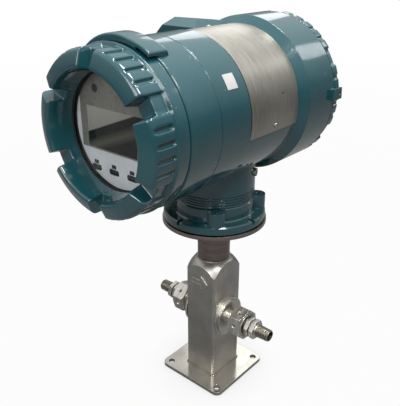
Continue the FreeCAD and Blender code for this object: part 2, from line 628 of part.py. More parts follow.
def front_lug():
    """Crescent lug over the front cover's lip, which ends in an ear with a slot under it."""
    long = "lug_back - lug_front"
    clear = "cover_lip_radius + lug_clear"
    disc = rod("lug_disc_blank", "lug_disc_radius", long, ("lug_disc_offset", "lug_front", 0), TURN_Y)
    ear = barrel_skin("lug_ear", clear, "ear_thick", "lug_front", long, "ear_angle", "ear_sweep_angle")
    slot = barrel_skin("lug_slot", "cover_lip_radius", "lug_clear + ear_slot_thick", "lug_front - lug_clear",
                       "front_face - lug_front", "ear_angle - ear_slot_angle", "2 * ear_slot_angle")
    room = rod("lug_room", clear, "front_face - lug_front", (0, "lug_front", HEAD), TURN_Y)
    crescent = swung("lug_disc", disc, BARREL_AXIS, "lug_angle")
    return cut("front_lug", fuse("lug_body", crescent, ear), room, slot)


def rear_lug():
    """Small square lug over the rear cover's rim."""
    corner = ("rear_radius - rear_lug_sink", "rear_face - rear_lug_foot", "-rear_lug_width / 2")
    long = "rear_grip_length + rear_lug_foot - rear_edge"
    block = box("rear_lug_block", corner, "rear_lug_reach + rear_lug_sink", long, "rear_lug_width")
    room = rod("rear_lug_room", "rear_radius + lug_clear", "2 * rear_grip_length", (0, "rear_face", HEAD), TURN_Y)
    return cut("rear_lug", swung("rear_lug_swung", block, BARREL_AXIS, "rear_lug_angle"), room)


def housing():
    """One casting: barrel, neck, entry block and lugs, bored from both ends to a wall between."""
    body = fuse("housing_body", turned("barrel", "Y", barrel_profile(), BARREL),
                turned("neck", "Z", neck_profile()), entry_block(), front_lug(), rear_lug())
    wall_back, mouth = "wall_front + wall_thick", "mouth_chamfer"
    front = turned("front_bore", "Y", [("front_face", 0), ("front_face", f"bore_radius + {mouth}"),
                                       (f"front_face + {mouth}", "bore_radius"),
                                       ("wall_front", "bore_radius"), ("wall_front", 0)], BARREL)
    rear = turned("rear_bore", "Y", [(wall_back, 0), (wall_back, "rear_bore_radius"),
                                     (f"rear_face - {mouth}", "rear_bore_radius"),
                                     ("rear_face", f"rear_bore_radius + {mouth}"), ("rear_face", 0)], BARREL)
    neck_bore = rod("neck_bore", "spigot_radius + turn_gap",
                    f"{HEAD} - bore_radius + neck_bore_over - ({HUB_TOP})", (0, 0, HUB_TOP))
    wire_hole = rod("wire_hole", "cable_bore_radius / 2", "wall_thick",
                    (0, "wall_front", f"{HEAD} + bore_radius / 2"), TURN_Y)
    entries = []
    for row in range(2):
        at = ("-block_out", f"entry_front + {row} * entry_gap", f"{HEAD} + entry_height")
        entries.append(rod("entry_hole", "entry_radius", "block_out - bore_radius / 2", at, TURN_X))
    hole = "lock_radius + skin_gap"
    locks = [radial_rod("lock_hole", hole, "cover_lip_radius", "lug_disc_offset", LOCK_PLACE, "lug_angle"),
             radial_rod("rear_lock_hole", hole, "rear_radius", "2 * rear_lug_reach", REAR_LOCK_PLACE,
                        "rear_lug_angle"),
             neck_rod("neck_screw_hole", "neck_screw_radius + skin_gap", "spigot_radius",
                      "neck_radius - spigot_radius")]
    bores = [front, rear, neck_bore, wire_hole]
    node("housing", cut("housing_casting", body, *bores, *entries, *locks))


def neck_rod(name, radius, start, length):
    """Rod that points out through the neck's wall where its lock screw sits."""
    blank = rod(f"{name}_blank", radius, length, (start, 0, f"{HUB_TOP} + neck_screw_above"), TURN_X)
    return swung(name, blank, NECK_AXIS, "neck_screw_angle")


def wedge(centre, width, low, high):
    """Return the corners of a wedge between two radii, centred on an angle."""
    left, right = f"{centre} - ({width}) / 2", f"{centre} + ({width}) / 2"
    return [polar(low, left), polar(high, left), polar(high, right), polar(low, right)]


def cover(name, profile, cuts, turn=None):
    """Screwed cover, turned; each cut is a name, its wedges, where it stops and its length."""
    body = turned(name, "Y", profile)
    features = []
    for label, wedges, stop, length in cuts:
        sketch = outline(body, f"{name}_{label}_sketch", "XZ_Plane", wedges[0], f"-({stop})")
        for corners in wedges[1:]:
            add_loop(sketch, corners)
        feature = body.newObject("PartDesign::Pocket", f"{name}_{label}")
        feature.Profile = sketch
        feature.setExpression("Length", formula(length))
        feature.Reversed = True
        features.append(feature)
    pattern = body.newObject("PartDesign::PolarPattern", f"{name}_round")
    pattern.Originals = features
    pattern.Axis = (origin_plane(body, "Y_Axis"), [""])
    pattern.Angle = 360
    pattern.Occurrences = NOTCHES
    body.Tip = pattern
    return place(body, BARREL, turn)


def grooves(floor, high):
    """Return the wedges of the grip's grooves between two notches."""
    return [wedge(f"{step} * land_angle", "groove_angle", floor, high) for step in GROOVE_STEPS]


def front_cover():
    """Front cover: crowned rim, bead, lip, recess for the seal ring and a spigot into the barrel."""
    back = "front_face - cover_gap"
    spigot = "bore_radius - spigot_gap"
    recess = "bore_radius + recess_wall"
    grip_end = "bead_place - bead_ease"
    profile = [("crown_front", "crown_inner"), ("rim_front", "rim_radius"), ("grip_front", "grip_radius"),
               (grip_end, "grip_radius"), ("bead_place", "bead_radius"),
               ("bead_place + bead_ease", "cover_lip_radius"), (back, "cover_lip_radius"), (back, recess),
               (f"{back} - recess_deep", recess), (f"{back} - recess_deep", spigot),
               ("front_face + cover_spigot", spigot),
               ("front_face + cover_spigot", "window_seat_radius"), ("window_shoulder", "window_seat_radius"),
               ("window_shoulder", "window_lip_radius")]
    beyond = "bead_radius + cut_over"
    cuts = [("notch", [wedge(HALF_STEP, "notch_angle", "window_lip_radius - cut_over", beyond)],
             "crown_front + notch_depth", "notch_depth + cut_over"),
            ("flat", [wedge(HALF_STEP, "notch_angle", "notch_floor_radius", beyond)], grip_end,
             f"{grip_end} - crown_front"),
            ("groove", grooves("groove_floor_radius", beyond), "groove_back", "groove_back - groove_front")]
    node("front_cover", cover("cover_front", profile, cuts))
    seal_ring("front_cover_seal", "front_face - ring_section",
              "bore_radius + (recess_wall - spigot_gap) / 2")


def seal_ring(name, along, radius):
    """Round-section ring in the recess behind a cover's lip."""
    node(name, primitive("Torus", f"{name}_ring", (0, along, HEAD), TURN_Y, Radius1=radius,
                         Radius2="ring_section - 2 * skin_gap"))


def rear_cover():
    """Blind rear cover with a shallow crown."""
    face = "-rear_face"
    back = f"{face} - cover_gap"
    spigot = "rear_bore_radius - spigot_gap"
    inner = f"{spigot} - cover_spigot_wall"
    recess = "rear_bore_radius + recess_wall"
    rim = f"{face} - rear_grip_length"
    crown = f"{rim} - rear_crown_length"
    plate = f"{rim} + rear_plate"
    edge = "rear_radius - edge_ease"
    profile = [(crown, "rear_crown_inner"), (f"{rim} - edge_ease", edge), (rim, "rear_radius"),
               (back, "rear_radius"), (back, recess), (f"{back} - recess_deep", recess),
               (f"{back} - recess_deep", spigot), (f"{face} + cover_spigot", spigot),
               (f"{face} + cover_spigot", inner), (plate, inner), (plate, 0), (rim, 0),
               (rim, "rear_crown_inner")]
    beyond = "rear_radius + cut_over"
    stop = f"{back} - rear_edge"
    floor = "rear_radius - rear_notch_deep"
    cuts = [("notch", [wedge(HALF_STEP, "notch_angle", "rear_crown_inner - cut_over", beyond)], rim,
             "rear_crown_length + cut_over"),
            ("flat", [wedge(HALF_STEP, "notch_angle", floor, beyond)], stop, f"{stop} - ({crown})"),
            ("groove", grooves("rear_radius - rear_groove_deep", beyond), stop, f"{stop} - ({crown})")]
    node("rear_cover", cover("cover_rear", profile, cuts, ((0, 0, 1), 180)))
    seal_ring("rear_cover_seal", "rear_face + ring_section",
              "rear_bore_radius + (recess_wall - spigot_gap) / 2")


def window():
    """Window glass with its gasket in front and its retaining ring behind, inside the front cover."""
    edge = "window_seat_radius - window_gap"
    seat = "window_shoulder"
    glass = f"{seat} + window_gasket_thick"
    node("window_gasket", ring("window_gasket_blank", edge, "gasket_bore", "window_gasket_thick",
                               (0, seat, HEAD), TURN_Y))
    node("window_glass", rod("glass", edge, "glass_thick", (0, glass, HEAD), TURN_Y))
    node("window_ring", ring("window_ring_blank", edge, "ring_bore", "ring_thick",
                             (0, f"{glass} + glass_thick", HEAD), TURN_Y))


def display():
    """Display module: case, printed panel, frame, screen, and the windows of the optical keys."""
    disc = rod("panel_blank", "display_radius", "panel_thick", (0, "display_face", HEAD), TURN_Y)
    half, low = "(display_radius - frame_edge)", f"{HEAD} + frame_low"
    opening = box("panel_opening", (f"-{half}", "display_face", low), f"2 * {half}", "panel_thick",
                  "2 * display_radius")
    node("display_panel", cut("panel", disc, opening, *key_shapes("key_hole", "skin_gap")))
    front, deep = "display_face + frame_sunk", "panel_thick - frame_sunk"
    field = box("frame_field", (f"-{half} + skin_gap", front, f"{low} + skin_gap"),
                f"2 * ({half} - skin_gap)", deep, "2 * display_radius")
    blank = rod("frame_blank", "display_radius", deep, (0, front, HEAD), TURN_Y)
    spots = [rod("frame_spot", "spot_radius", deep, (f"{side} * spot_place", front, f"{HEAD} + spot_height"),
                 TURN_Y) for side in (-1, 1)]
    shape = common("frame_shape", blank, field)
    node("screen_frame", cut("frame", shape, screen_box("frame_hole", "0"), *spots))
    case = rod("case_blank", "display_radius", "display_depth", (0, "display_face + panel_thick", HEAD),
               TURN_Y)
    node("display_case", cut("case", case, screen_box("case_hollow", "0"), *key_shapes("case_key", "skin_gap")))
    node("display_screen", screen_box("screen", "skin_gap"))
    node("key_windows", group("keys", *key_shapes("key", "0")))


def screen_box(name, gap):
    """Block where the screen lies, drawn in by a gap on all sides but its front."""
    at = (f"-lcd_wide / 2 + {gap}", "display_face + lcd_sunk", f"{HEAD} + lcd_low + {gap}")
    front = box(name, at, f"lcd_wide - 2 * {gap}", f"lcd_thick - {gap}", f"lcd_tall - 2 * {gap}")
    if gap != "0":
        return front
    mouth = box(f"{name}_mouth", (at[0], "display_face", at[2]), "lcd_wide", "lcd_sunk", "lcd_tall")
    return fuse(f"{name}_open", front, mouth)


def pill(name, centre, grow):
    """Long window of a key, with round ends."""
    across, along, up = centre
    half = "(oval_wide - oval_tall) / 2"
    radius = f"(oval_tall / 2 + {grow})"
    bar = box(f"{name}_bar", (f"{across} - {half}", along, f"{up} - {radius}"), f"2 * {half}", "key_deep",
              f"2 * {radius}")
    ends = [rod(f"{name}_end", radius, "key_deep", (f"{across} + {side} * {half}", along, up), TURN_Y)
            for side in (-1, 1)]
    return fuse(name, bar, *ends)


def key_shapes(name, grow):
    """A small square window and a long round-ended one for each of the three optical keys."""
    shapes = []
    for key in (-1, 0, 1):
        centre = f"key_centre + {key} * key_pitch"
        corner = (f"{centre} - key_wide / 2 - {grow}", "display_face",
                  f"{HEAD} + key_high - key_tall / 2 - {grow}")
        shapes.append(box(f"{name}_square", corner, f"key_wide + 2 * {grow}", "key_deep",
                          f"key_tall + 2 * {grow}"))
        shapes.append(pill(f"{name}_oval", (f"({centre})", "display_face", f"{HEAD} + oval_low"), grow))
    return shapes


def boards():
    """Three round boards on posts between the display and the wall, with their large components."""
    names = ("display_board", "signal_board", "power_board")
    places = ("first_board", "second_board", "third_board")
    for name, along in zip(names, places):
        disc = rod(f"{name}_disc", "board_radius", "board_thick", (0, along, HEAD), TURN_Y)
        flat = box(f"{name}_flat", ("-board_radius", along, f"{HEAD} - board_flat"), "2 * board_radius",
                   "board_thick", "2 * board_flat")
        node(name, common(f"{name}_blank", disc, flat))
    starts = ("display_face + panel_thick + display_depth", *(f"{along} + board_thick" for along in places))
    ends = (*places, "wall_front")
    posts = []
    for start, end in zip(starts, ends):
        for right in (-1, 1):
            for up in (-1, 1):
                at = (f"{right} * post_place", start, f"{HEAD} + {up} * post_place")
                posts.append(hexagon("post", "2 * post_radius", f"{end} - ({start})", at, TURN_Y))
    node("board_posts", group("posts", *posts))
    wide, deep, tall = "transformer_wide", "transformer_deep", "transformer_tall"
    corner = (f"-{wide} / 2", f"third_board - {deep}", f"{HEAD} - {tall} / 2")
    node("power_transformer", box("transformer", corner, wide, deep, tall))
    start, middle = "second_board - can_long", f"{HEAD} - can_drop"
    cans = [rod("can", "can_radius", "can_long", (f"{can} * can_pitch", start, middle), TURN_Y)
            for can in (-1, 0, 1)]
    node("capacitors", group("cans", *cans))


def terminals():
    """Terminal block on the rear side of the wall, with a row of clamp screws."""
    wall = "wall_front + wall_thick"
    corner = ("-terminal_long / 2", wall, f"{HEAD} - terminal_tall / 2")
    node("terminal_block", box("terminal", corner, "terminal_long", "terminal_deep", "terminal_tall"))
    clamps = []
    for row in range(CLAMPS):
        across = f"({row} - {(CLAMPS - 1) / 2}) * terminal_pitch"
        at = (across, f"{wall} + terminal_deep", HEAD)
        clamps.append(rod("terminal_screw", "clamp_radius", "clamp_height", at, TURN_Y))
    node("terminal_screws", group("terminal_screw_row", *clamps))


def barrel_skin(name, inner, thick, along, length, low, sweep):
    """Thin sheet wrapped round the barrel between two angles."""
    sector = rod(f"{name}_sector", f"({inner}) + {thick}", length, (0, along, 0), TURN_Y, sweep)
    hollow = rod(f"{name}_hollow", inner, length, (0, along, HEAD), TURN_Y)
    return cut(name, swung(f"{name}_swung", sector, BARREL_AXIS, f"{low} + {sweep}"), hollow)


def nameplate():
    """Bare steel plate wrapped over the barrel's waist, its rivets, and a plain white label."""
    inner = "seat_radius + skin_gap"
    node("nameplate", barrel_skin("nameplate_sheet", inner, "nameplate_thick", "-nameplate_half",
                                  "2 * nameplate_half", "nameplate_low_angle", "nameplate_sweep_angle"))
    heads = []
    for angle in ("rivet_low_angle", "rivet_low_angle + rivet_sweep_angle"):
        heads.append(radial_rod("rivet", "rivet_radius", f"{inner} + nameplate_thick", "rivet_height",
                                "rivet_place", angle))
    node("nameplate_rivets", group("rivets", *heads))
    node("label", barrel_skin("label_sheet", "front_radius + skin_gap", "label_thick", "label_front",
                              "label_long", "label_low_angle", "label_sweep_angle"))


def lock_screws():
    """Lock screws of both covers and of the neck."""
    for name, rim, lug, along, angle in (
            ("front_lock_screw", "cover_lip_radius", "lug_disc_offset + lug_disc_radius", LOCK_PLACE,
             "lug_angle"),
            ("rear_lock_screw", "rear_radius", "rear_radius + rear_lug_reach", REAR_LOCK_PLACE,
             "rear_lug_angle")):
        start = f"({rim} + fit_gap)"
        length = f"({lug} - fit_gap - {start})"
        body = radial_rod(f"{name}_body", "lock_radius", start, length, along, angle)
        key = radial_rod(f"{name}_key", "lock_radius / 2", f"{start} + {length} / 2", length, along, angle)
        node(name, cut(name, body, key))
    start = "(spigot_radius + turn_gap + fit_gap)"
    seat = "(neck_radius + skin_gap)"
    tall = "neck_screw_head_height"
    head = neck_rod("neck_screw_cap", "neck_screw_head", seat, tall)
    shank = neck_rod("neck_screw_shank", "neck_screw_radius", start, f"{seat} - {start}")
    key = neck_rod("neck_screw_key", "neck_screw_head / 2", f"{seat} + {tall} / 2", tall)
    node("neck_lock_screw", cut("neck_screw", fuse("neck_screw_blank", head, shank), key))


def entry_plug():
    """Hexagon plug and its seal in the spare cable entry."""
    across, centre = "-block_out", ("entry_front", f"{HEAD} + entry_height")
    wide = "entry_radius + plug_flange"
    flange = f"{across} - plug_seal_thick - plug_flange_thick"
    collar = rod("plug_collar", wide, "plug_flange_thick", (flange, *centre), TURN_X)
    thread = rod("plug_thread", "entry_radius - fit_gap", "plug_long", (flange, *centre), TURN_X)
    head = hexagon("plug_hexagon", "2 * entry_radius", "plug_head", (f"{flange} - plug_head", *centre), TURN_X)
    node("entry_plug", fuse("plug_piece", collar, thread, head))
    node("entry_plug_seal", ring("plug_seal", wide, "entry_radius", "plug_seal_thick",
                                 (f"{across} - plug_seal_thick", *centre), TURN_X))


def finish_file():
    """Check every object, then write one file for each piece."""
    doc.recompute()
    for item in doc.Objects:
        if any(flag in item.State for flag in ("Invalid", "Error")):
            raise RuntimeError(f"{item.Name} ({item.Label}) did not build: {item.State}")
    for name, item in parts.items():
        shape = item.Shape
        if shape.isNull() or not shape.isValid() or not shape.Solids:
            raise RuntimeError(f"{name} has no valid solid")
        print(name, len(shape.Solids), "solids", round(shape.Volume / 1000, 2), "cm3")
    os.makedirs("parts", exist_ok=True)
    for name, item in parts.items():
        item.Shape.exportStep(f"parts/{name}.step")


base_plate()
sensor_casing()
neck_pieces()
neck_flange()
flange_bolts()
measuring_tube()
coils()
sensor_wiring()
process_side("right", Placement())
process_side("left", Placement(Vector(0, 0, 0), Rotation(Vector(0, 0, 1), 180)))
housing()
front_cover()
rear_cover()
window()
display()
boards()
terminals()
nameplate()
lock_screws()
entry_plug()
finish_file()
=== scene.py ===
# %% [markdown]
# # A flow meter with a barrel head, dressed for its picture
#
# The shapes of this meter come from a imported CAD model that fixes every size.
# This lesson puts finishes on those shapes, adds the small details that a CAD
# file leaves out, and sets up a plain studio round them.
#
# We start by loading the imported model. Its pieces arrive as separate objects,
# already in metres and already in place, so nothing here is ever moved.

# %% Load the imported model
import math

import bmesh
import bpy
import numpy as np
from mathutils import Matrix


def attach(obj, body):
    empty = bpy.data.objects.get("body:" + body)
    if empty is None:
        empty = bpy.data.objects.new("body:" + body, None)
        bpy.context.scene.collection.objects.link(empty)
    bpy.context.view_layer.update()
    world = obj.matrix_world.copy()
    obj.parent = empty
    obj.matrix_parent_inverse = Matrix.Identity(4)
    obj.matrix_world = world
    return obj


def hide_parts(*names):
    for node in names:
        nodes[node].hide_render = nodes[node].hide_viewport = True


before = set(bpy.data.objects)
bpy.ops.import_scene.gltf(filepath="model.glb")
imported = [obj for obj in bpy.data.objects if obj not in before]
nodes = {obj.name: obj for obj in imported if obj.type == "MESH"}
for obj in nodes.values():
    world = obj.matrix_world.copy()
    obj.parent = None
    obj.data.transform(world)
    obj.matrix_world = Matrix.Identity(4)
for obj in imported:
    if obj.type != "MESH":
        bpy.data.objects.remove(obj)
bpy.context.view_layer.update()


# %% [markdown]
# ## The camera
#
# A portrait starts with the viewpoint. The meter is seen from its right front,
# a little above, by a lens of about 50 mm on a 36 mm sensor. The camera looks
# down, so the verticals converge downwards.

# %% Place the camera
lens = bpy.data.cameras.new("camera")
lens.lens = 49.68
lens.sensor_width = 36.0
lens.clip_start = 0.01
camera = bpy.data.objects.new("camera", lens)
camera.location = (0.33509, -0.41100, 0.44418)
camera.rotation_euler = (math.radians(65.81), 0.0, math.radians(40.79))
bpy.context.scene.collection.objects.link(camera)
bpy.context.scene.camera = camera
print("camera at", tuple(round(number, 3) for number in camera.location))

# %% [markdown]
# ## Tools for finishes
#
# A finish is a small network of nodes. It could be wired node by node, but
# most finishes need the same few moves, so helpers for these moves keep each
# finish below down to a few lines.


# %% Helpers that add nodes
def start_finish(name, colour, metal, rough, **fixed):
    """Make a material with constant values on its shader; return it, its tree and its shader."""
    finish = bpy.data.materials.new(name)
    finish.use_nodes = True
    tree = finish.node_tree
    surface = tree.nodes["Principled BSDF"]
    surface.inputs["Base Color"].default_value = (*colour, 1.0)
    surface.inputs["Metallic"].default_value = metal
    surface.inputs["Roughness"].default_value = rough
    for socket, value in fixed.items():
        surface.inputs[socket.replace("_", " ")].default_value = value
    finish.diffuse_color = (*colour, 1.0)
    return finish, tree, surface


def add(tree, kind, inputs=None, **settings):
    """Add a node, set its options, and fill its inputs with values or other nodes' outputs."""
    node = tree.nodes.new(f"ShaderNode{kind}")
    for key, value in settings.items():
        setattr(node, key, value)
    for socket, value in (inputs or {}).items():
        if isinstance(value, bpy.types.NodeSocket):
            tree.links.new(value, node.inputs[socket])
        else:
            node.inputs[socket].default_value = value
    return node


def maths(tree, operation, *values):
    """Do one step of arithmetic on numbers or on other nodes' outputs."""
    return add(tree, "Math", dict(enumerate(values)), operation=operation).outputs[0]


def join(tree, surface, **links):
    """Link outputs to the shader's sockets by name."""
    for socket, value in links.items():
        tree.links.new(value, surface.inputs[socket.replace("_", " ")])


def tell(*finishes):
    """Print how many nodes each finish is made of."""
    for finish in finishes:
        print(finish.name, "is made of", len(finish.node_tree.nodes), "nodes")


print("helpers that add nodes are ready")

# %% [markdown]
# The next helpers read where a point lies on the object, make a pattern there,
# and turn it into a colour, a roughness or a height, all in metres. An image
# would need unwrapping and would repeat; a pattern in space does neither.

# %% Helpers that make patterns
X, Y, Z = range(3)
MIX_FACTOR, MIX_FIRST, MIX_SECOND, MIX_RESULT = 0, 6, 7, 2  # the Mix node's sockets for colours


def places(tree, stretch=(1.0, 1.0, 1.0)):
    """Return the place of a point on the object, in metres, stretched for a pattern."""
    where = add(tree, "TexCoord").outputs["Object"]
    return add(tree, "Mapping", {"Vector": where, "Scale": stretch}).outputs["Vector"]


def axes(tree):
    """Return the three coordinates of a point on the object, in metres."""
    return add(tree, "SeparateXYZ", {0: places(tree)}).outputs


def length(tree, vector):
    """Return the length of a vector."""
    return add(tree, "VectorMath", {0: vector}, operation="LENGTH").outputs["Value"]


def clouds(tree, scale, detail=3.0, rough=0.55, stretch=(1.0, 1.0, 1.0)):
    """Return soft noise from 0 to 1; scale is in clouds per metre."""
    inputs = {"Vector": places(tree, stretch), "Scale": scale,
              "Detail": detail, "Roughness": rough}
    return add(tree, "TexNoise", inputs).outputs["Fac"]


def spread(tree, factor, low, high, start=0.35, end=0.65):
    """Map a factor between start and end to a value between low and high, and hold it there."""
    inputs = {"Value": factor, "From Min": start, "From Max": end, "To Min": low, "To Max": high}
    return add(tree, "MapRange", inputs, clamp=True).outputs["Result"]


def blend(tree, factor, first, second):
    """Mix two colours by a factor; each colour is three numbers or another node's output."""
    first, second = (colour if isinstance(colour, bpy.types.NodeSocket) else (*colour, 1.0)
                     for colour in (first, second))
    inputs = {MIX_FACTOR: factor, MIX_FIRST: first, MIX_SECOND: second}
    return add(tree, "Mix", inputs, data_type="RGBA").outputs[MIX_RESULT]


def relief(tree, height, depth, under=None):
    """Turn a height pattern into a bump of a depth in metres, over another normal if given."""
    inputs = {"Height": height, "Distance": depth}
    if under is not None:
        inputs["Normal"] = under
    return add(tree, "Bump", inputs).outputs["Normal"]


def soft_edges(tree, radius):
    """Return a normal that rounds sharp edges by a radius in metres, as casting and wear do."""
    return add(tree, "Bevel", {"Radius": radius}, samples=6).outputs["Normal"]


print("helpers that make patterns are ready")

# %% [markdown]
# ## The enamel
#
# The head is an aluminium casting under a thick blue-green enamel. Sprayed
# enamel is never flat: it has orange peel a couple of millimetres across, it
# pools slightly, and its gloss varies with handling. The casting's edges are
# rounded, and that is where the paint catches the light. Rounding them in the
# mesh would cost many faces, so the shader does it, by about a millimetre.
# Dust lies on the paint as tiny pale specks.


# %% Make the enamel
def enamel():
    """Gloss paint: slow drift of colour, orange peel, soft edges and a few dust specks.

    A speck is the middle of a Voronoi cell, kept only where slow noise lets dust lie.
    """
    finish, tree, surface = start_finish("enamel", (0.013, 0.083, 0.100), 0.0, 0.14,
                                         Coat_Weight=0.8, Coat_Roughness=0.07, IOR=1.5)
    drift = spread(tree, clouds(tree, 14.0, 4.0), 0.0, 1.0, 0.3, 0.7)
    tone = blend(tree, drift, (0.010, 0.073, 0.088), (0.016, 0.093, 0.111))
    inputs = {"Vector": places(tree), "Scale": 230.0}
    cell = add(tree, "TexVoronoi", inputs, feature="F1").outputs["Distance"]
    dusty = spread(tree, clouds(tree, 45.0, 2.0), 0.0, 1.0, 0.58, 0.66)
    speck = maths(tree, "MULTIPLY", spread(tree, cell, 1.0, 0.0, 0.05, 0.11), dusty)
    tone = blend(tree, speck, tone, (0.30, 0.38, 0.38))
    shine = spread(tree, clouds(tree, 60.0, 5.0, 0.7), 0.08, 0.17)
    peel = relief(tree, clouds(tree, 420.0, 1.0), 0.00006, soft_edges(tree, 0.0012))
    join(tree, surface, Base_Color=tone, Roughness=shine, Normal=peel)
    return finish


paint = enamel()
tell(paint)

# %% [markdown]
# ## The blasted steel
#
# The casing and the base plate are blasted and pickled, which leaves a cloudy
# satin. Two greys mixed by slow noise give the clouds, and a bump finer than
# the eye can follow spreads the highlights as blasting does. The plate is
# smoother and paler. The coils' cores are the same recipe in dark iron.


# %% Make the blasted steel
def blasted_steel(name, light, dark, rough=0.36, grain=900.0, depth=0.00002):
    """Satin metal: clouds of two greys, a fine matt grain and a roughness that varies."""
    finish, tree, surface = start_finish(name, light, 1.0, rough)
    mottle = spread(tree, clouds(tree, 38.0, 6.0, 0.62), 0.0, 1.0, 0.32, 0.68)
    shine = spread(tree, clouds(tree, 90.0, 5.0, 0.7), rough * 0.8, rough * 1.25)
    fine = relief(tree, clouds(tree, grain, 2.0), depth, soft_edges(tree, 0.0006))
    join(tree, surface, Base_Color=blend(tree, mottle, dark, light), Roughness=shine, Normal=fine)
    return finish


satin = blasted_steel("satin_steel", (0.52, 0.50, 0.46), (0.38, 0.36, 0.33))
plate_steel = blasted_steel("plate_steel", (0.58, 0.565, 0.52), (0.42, 0.405, 0.36),
                            rough=0.15, grain=500.0, depth=0.000004)
iron = blasted_steel("soft_iron", (0.24, 0.24, 0.25), (0.16, 0.16, 0.17))
tell(satin, plate_steel, iron)

# %% [markdown]
# ## The turned steel
#
# The fittings come off a lathe, so fine rings run round their axis. The rings
# are a sine wave along the axis, which wanders a little, because a perfect
# wave would shimmer in the picture. The pipe is drawn and browned by its weld.
# Oil stains or painted shade mark some pieces in one place, so the recipe takes marks.


# %% Make the turned steel
def turned_steel(name, light, dark, along, pitch, rough, marks=()):
    """Machined steel: fine rings across the axis, given by which coordinate runs along it.

    A ring's height is the sine of the place along the axis, one turn of it per pitch. Each mark
    is a pair: a function that returns 1 where the mark lies and 0 elsewhere, and its colour.
    """
    finish, tree, surface = start_finish(name, light, 1.0, rough)
    wander = spread(tree, clouds(tree, 120.0, 2.0), -pitch, pitch, 0.3, 0.7)
    place = maths(tree, "ADD", axes(tree)[along], wander)
    ridge = maths(tree, "SINE", maths(tree, "MULTIPLY", place, 2.0 * math.pi / pitch))
    stretch = tuple(1.0 if axis == along else 0.06 for axis in (X, Y, Z))
    band = clouds(tree, 500.0, 2.0, 0.5, stretch)
    tone = blend(tree, spread(tree, band, 0.0, 1.0, 0.3, 0.7), dark, light)
    for lies, colour in marks:
        tone = blend(tree, lies(tree), tone, colour)
    cut_marks = relief(tree, ridge, 0.0000006, soft_edges(tree, 0.0004))
    shine = spread(tree, band, rough * 0.7, rough * 1.4)
    join(tree, surface, Base_Color=tone, Roughness=shine, Normal=cut_marks)
    return finish


TURNED = ((0.74, 0.72, 0.67), (0.50, 0.48, 0.43), X, 0.0005, 0.29)
fitting = turned_steel("fitting_steel", *TURNED)
drawn = turned_steel("drawn_pipe", (0.25, 0.20, 0.19), (0.19, 0.15, 0.142), Z, 0.0009, 0.28)
disc_steel = turned_steel("disc_steel", (0.34, 0.30, 0.27), (0.22, 0.19, 0.17), Z, 0.0006, 0.3)
bolt = turned_steel("bolt_steel", (0.5, 0.49, 0.47), (0.36, 0.35, 0.33), Y, 0.0005, 0.3)
tell(fitting, drawn, disc_steel, bolt)

# %% [markdown]
# ## The nameplate's sheet
#
# The nameplate is thin sheet that was brushed before it was rolled, so its
# hairlines run round the barrel. Noise that is drawn out round it gives such
# lines, and wider noise the darker streaks. One brown smudge is a sign of use.

# %% Make the brushed sheet
SMUDGE = (0.0655, 0.012, 0.328)


def brushed_sheet():
    """Brushed stainless: hairlines and dark streaks round the barrel, and one brown smudge.

    The smudge fades with the distance from its middle, and noise makes its edge ragged.
    """
    finish, tree, surface = start_finish("brushed_sheet", (0.47, 0.46, 0.41), 1.0, 0.38)
    cloudy = spread(tree, clouds(tree, 26.0, 5.0, 0.6), 0.0, 1.0, 0.3, 0.7)
    tone = blend(tree, cloudy, (0.33, 0.315, 0.265), (0.48, 0.465, 0.41))
    streak = clouds(tree, 420.0, 3.0, 0.6, (0.03, 1.0, 0.03))
    tone = blend(tree, spread(tree, streak, 0.0, 0.4, 0.5, 0.75), tone, (0.24, 0.23, 0.20))
    hair = clouds(tree, 1500.0, 4.0, 0.7, (0.02, 1.0, 0.02))
    tone = blend(tree, spread(tree, hair, 0.0, 0.55), tone, (0.60, 0.59, 0.54))
    inputs = {0: places(tree), 1: SMUDGE}
    away = add(tree, "VectorMath", inputs, operation="DISTANCE").outputs["Value"]
    rag = spread(tree, clouds(tree, 420.0, 4.0), -0.0012, 0.0012)
    smudge = spread(tree, maths(tree, "ADD", away, rag), 0.85, 0.0, 0.0012, 0.0034)
    tone = blend(tree, smudge, tone, (0.13, 0.075, 0.05))
    shine = spread(tree, hair, 0.26, 0.46)
    join(tree, surface, Base_Color=tone, Roughness=shine, Normal=relief(tree, hair, 0.000015))
    return finish


nameplate_sheet = brushed_sheet()
tell(nameplate_sheet)

# %% [markdown]
# ## Plastics and rubber
#
# Rubber and mouldings are simple, but each keeps the one thing that gives it
# away: rubber a dusty bloom, a moulding a fine spark-eroded grain, and a film
# less of both. One recipe covers them all, with the depth of the grain and the
# wavering of the colour as its settings.


# %% Make the moulded and rubber finishes
def moulded(name, colour, rough, depth=0.00002, vary=0.15):
    """Plastic or rubber: a colour that varies a little, a fine grain and soft edges."""
    finish, tree, surface = start_finish(name, colour, 0.0, rough)
    darker = tuple(part * (1.0 - vary) for part in colour)
    lighter = tuple(min(1.0, part * (1.0 + vary)) for part in colour)
    tone = blend(tree, spread(tree, clouds(tree, 70.0, 4.0), 0.0, 1.0), darker, lighter)
    shine = spread(tree, clouds(tree, 160.0, 3.0), rough * 0.85, min(1.0, rough * 1.15))
    fine = relief(tree, clouds(tree, 1400.0, 2.0), depth, soft_edges(tree, 0.0004))
    join(tree, surface, Base_Color=tone, Roughness=shine, Normal=fine)
    return finish


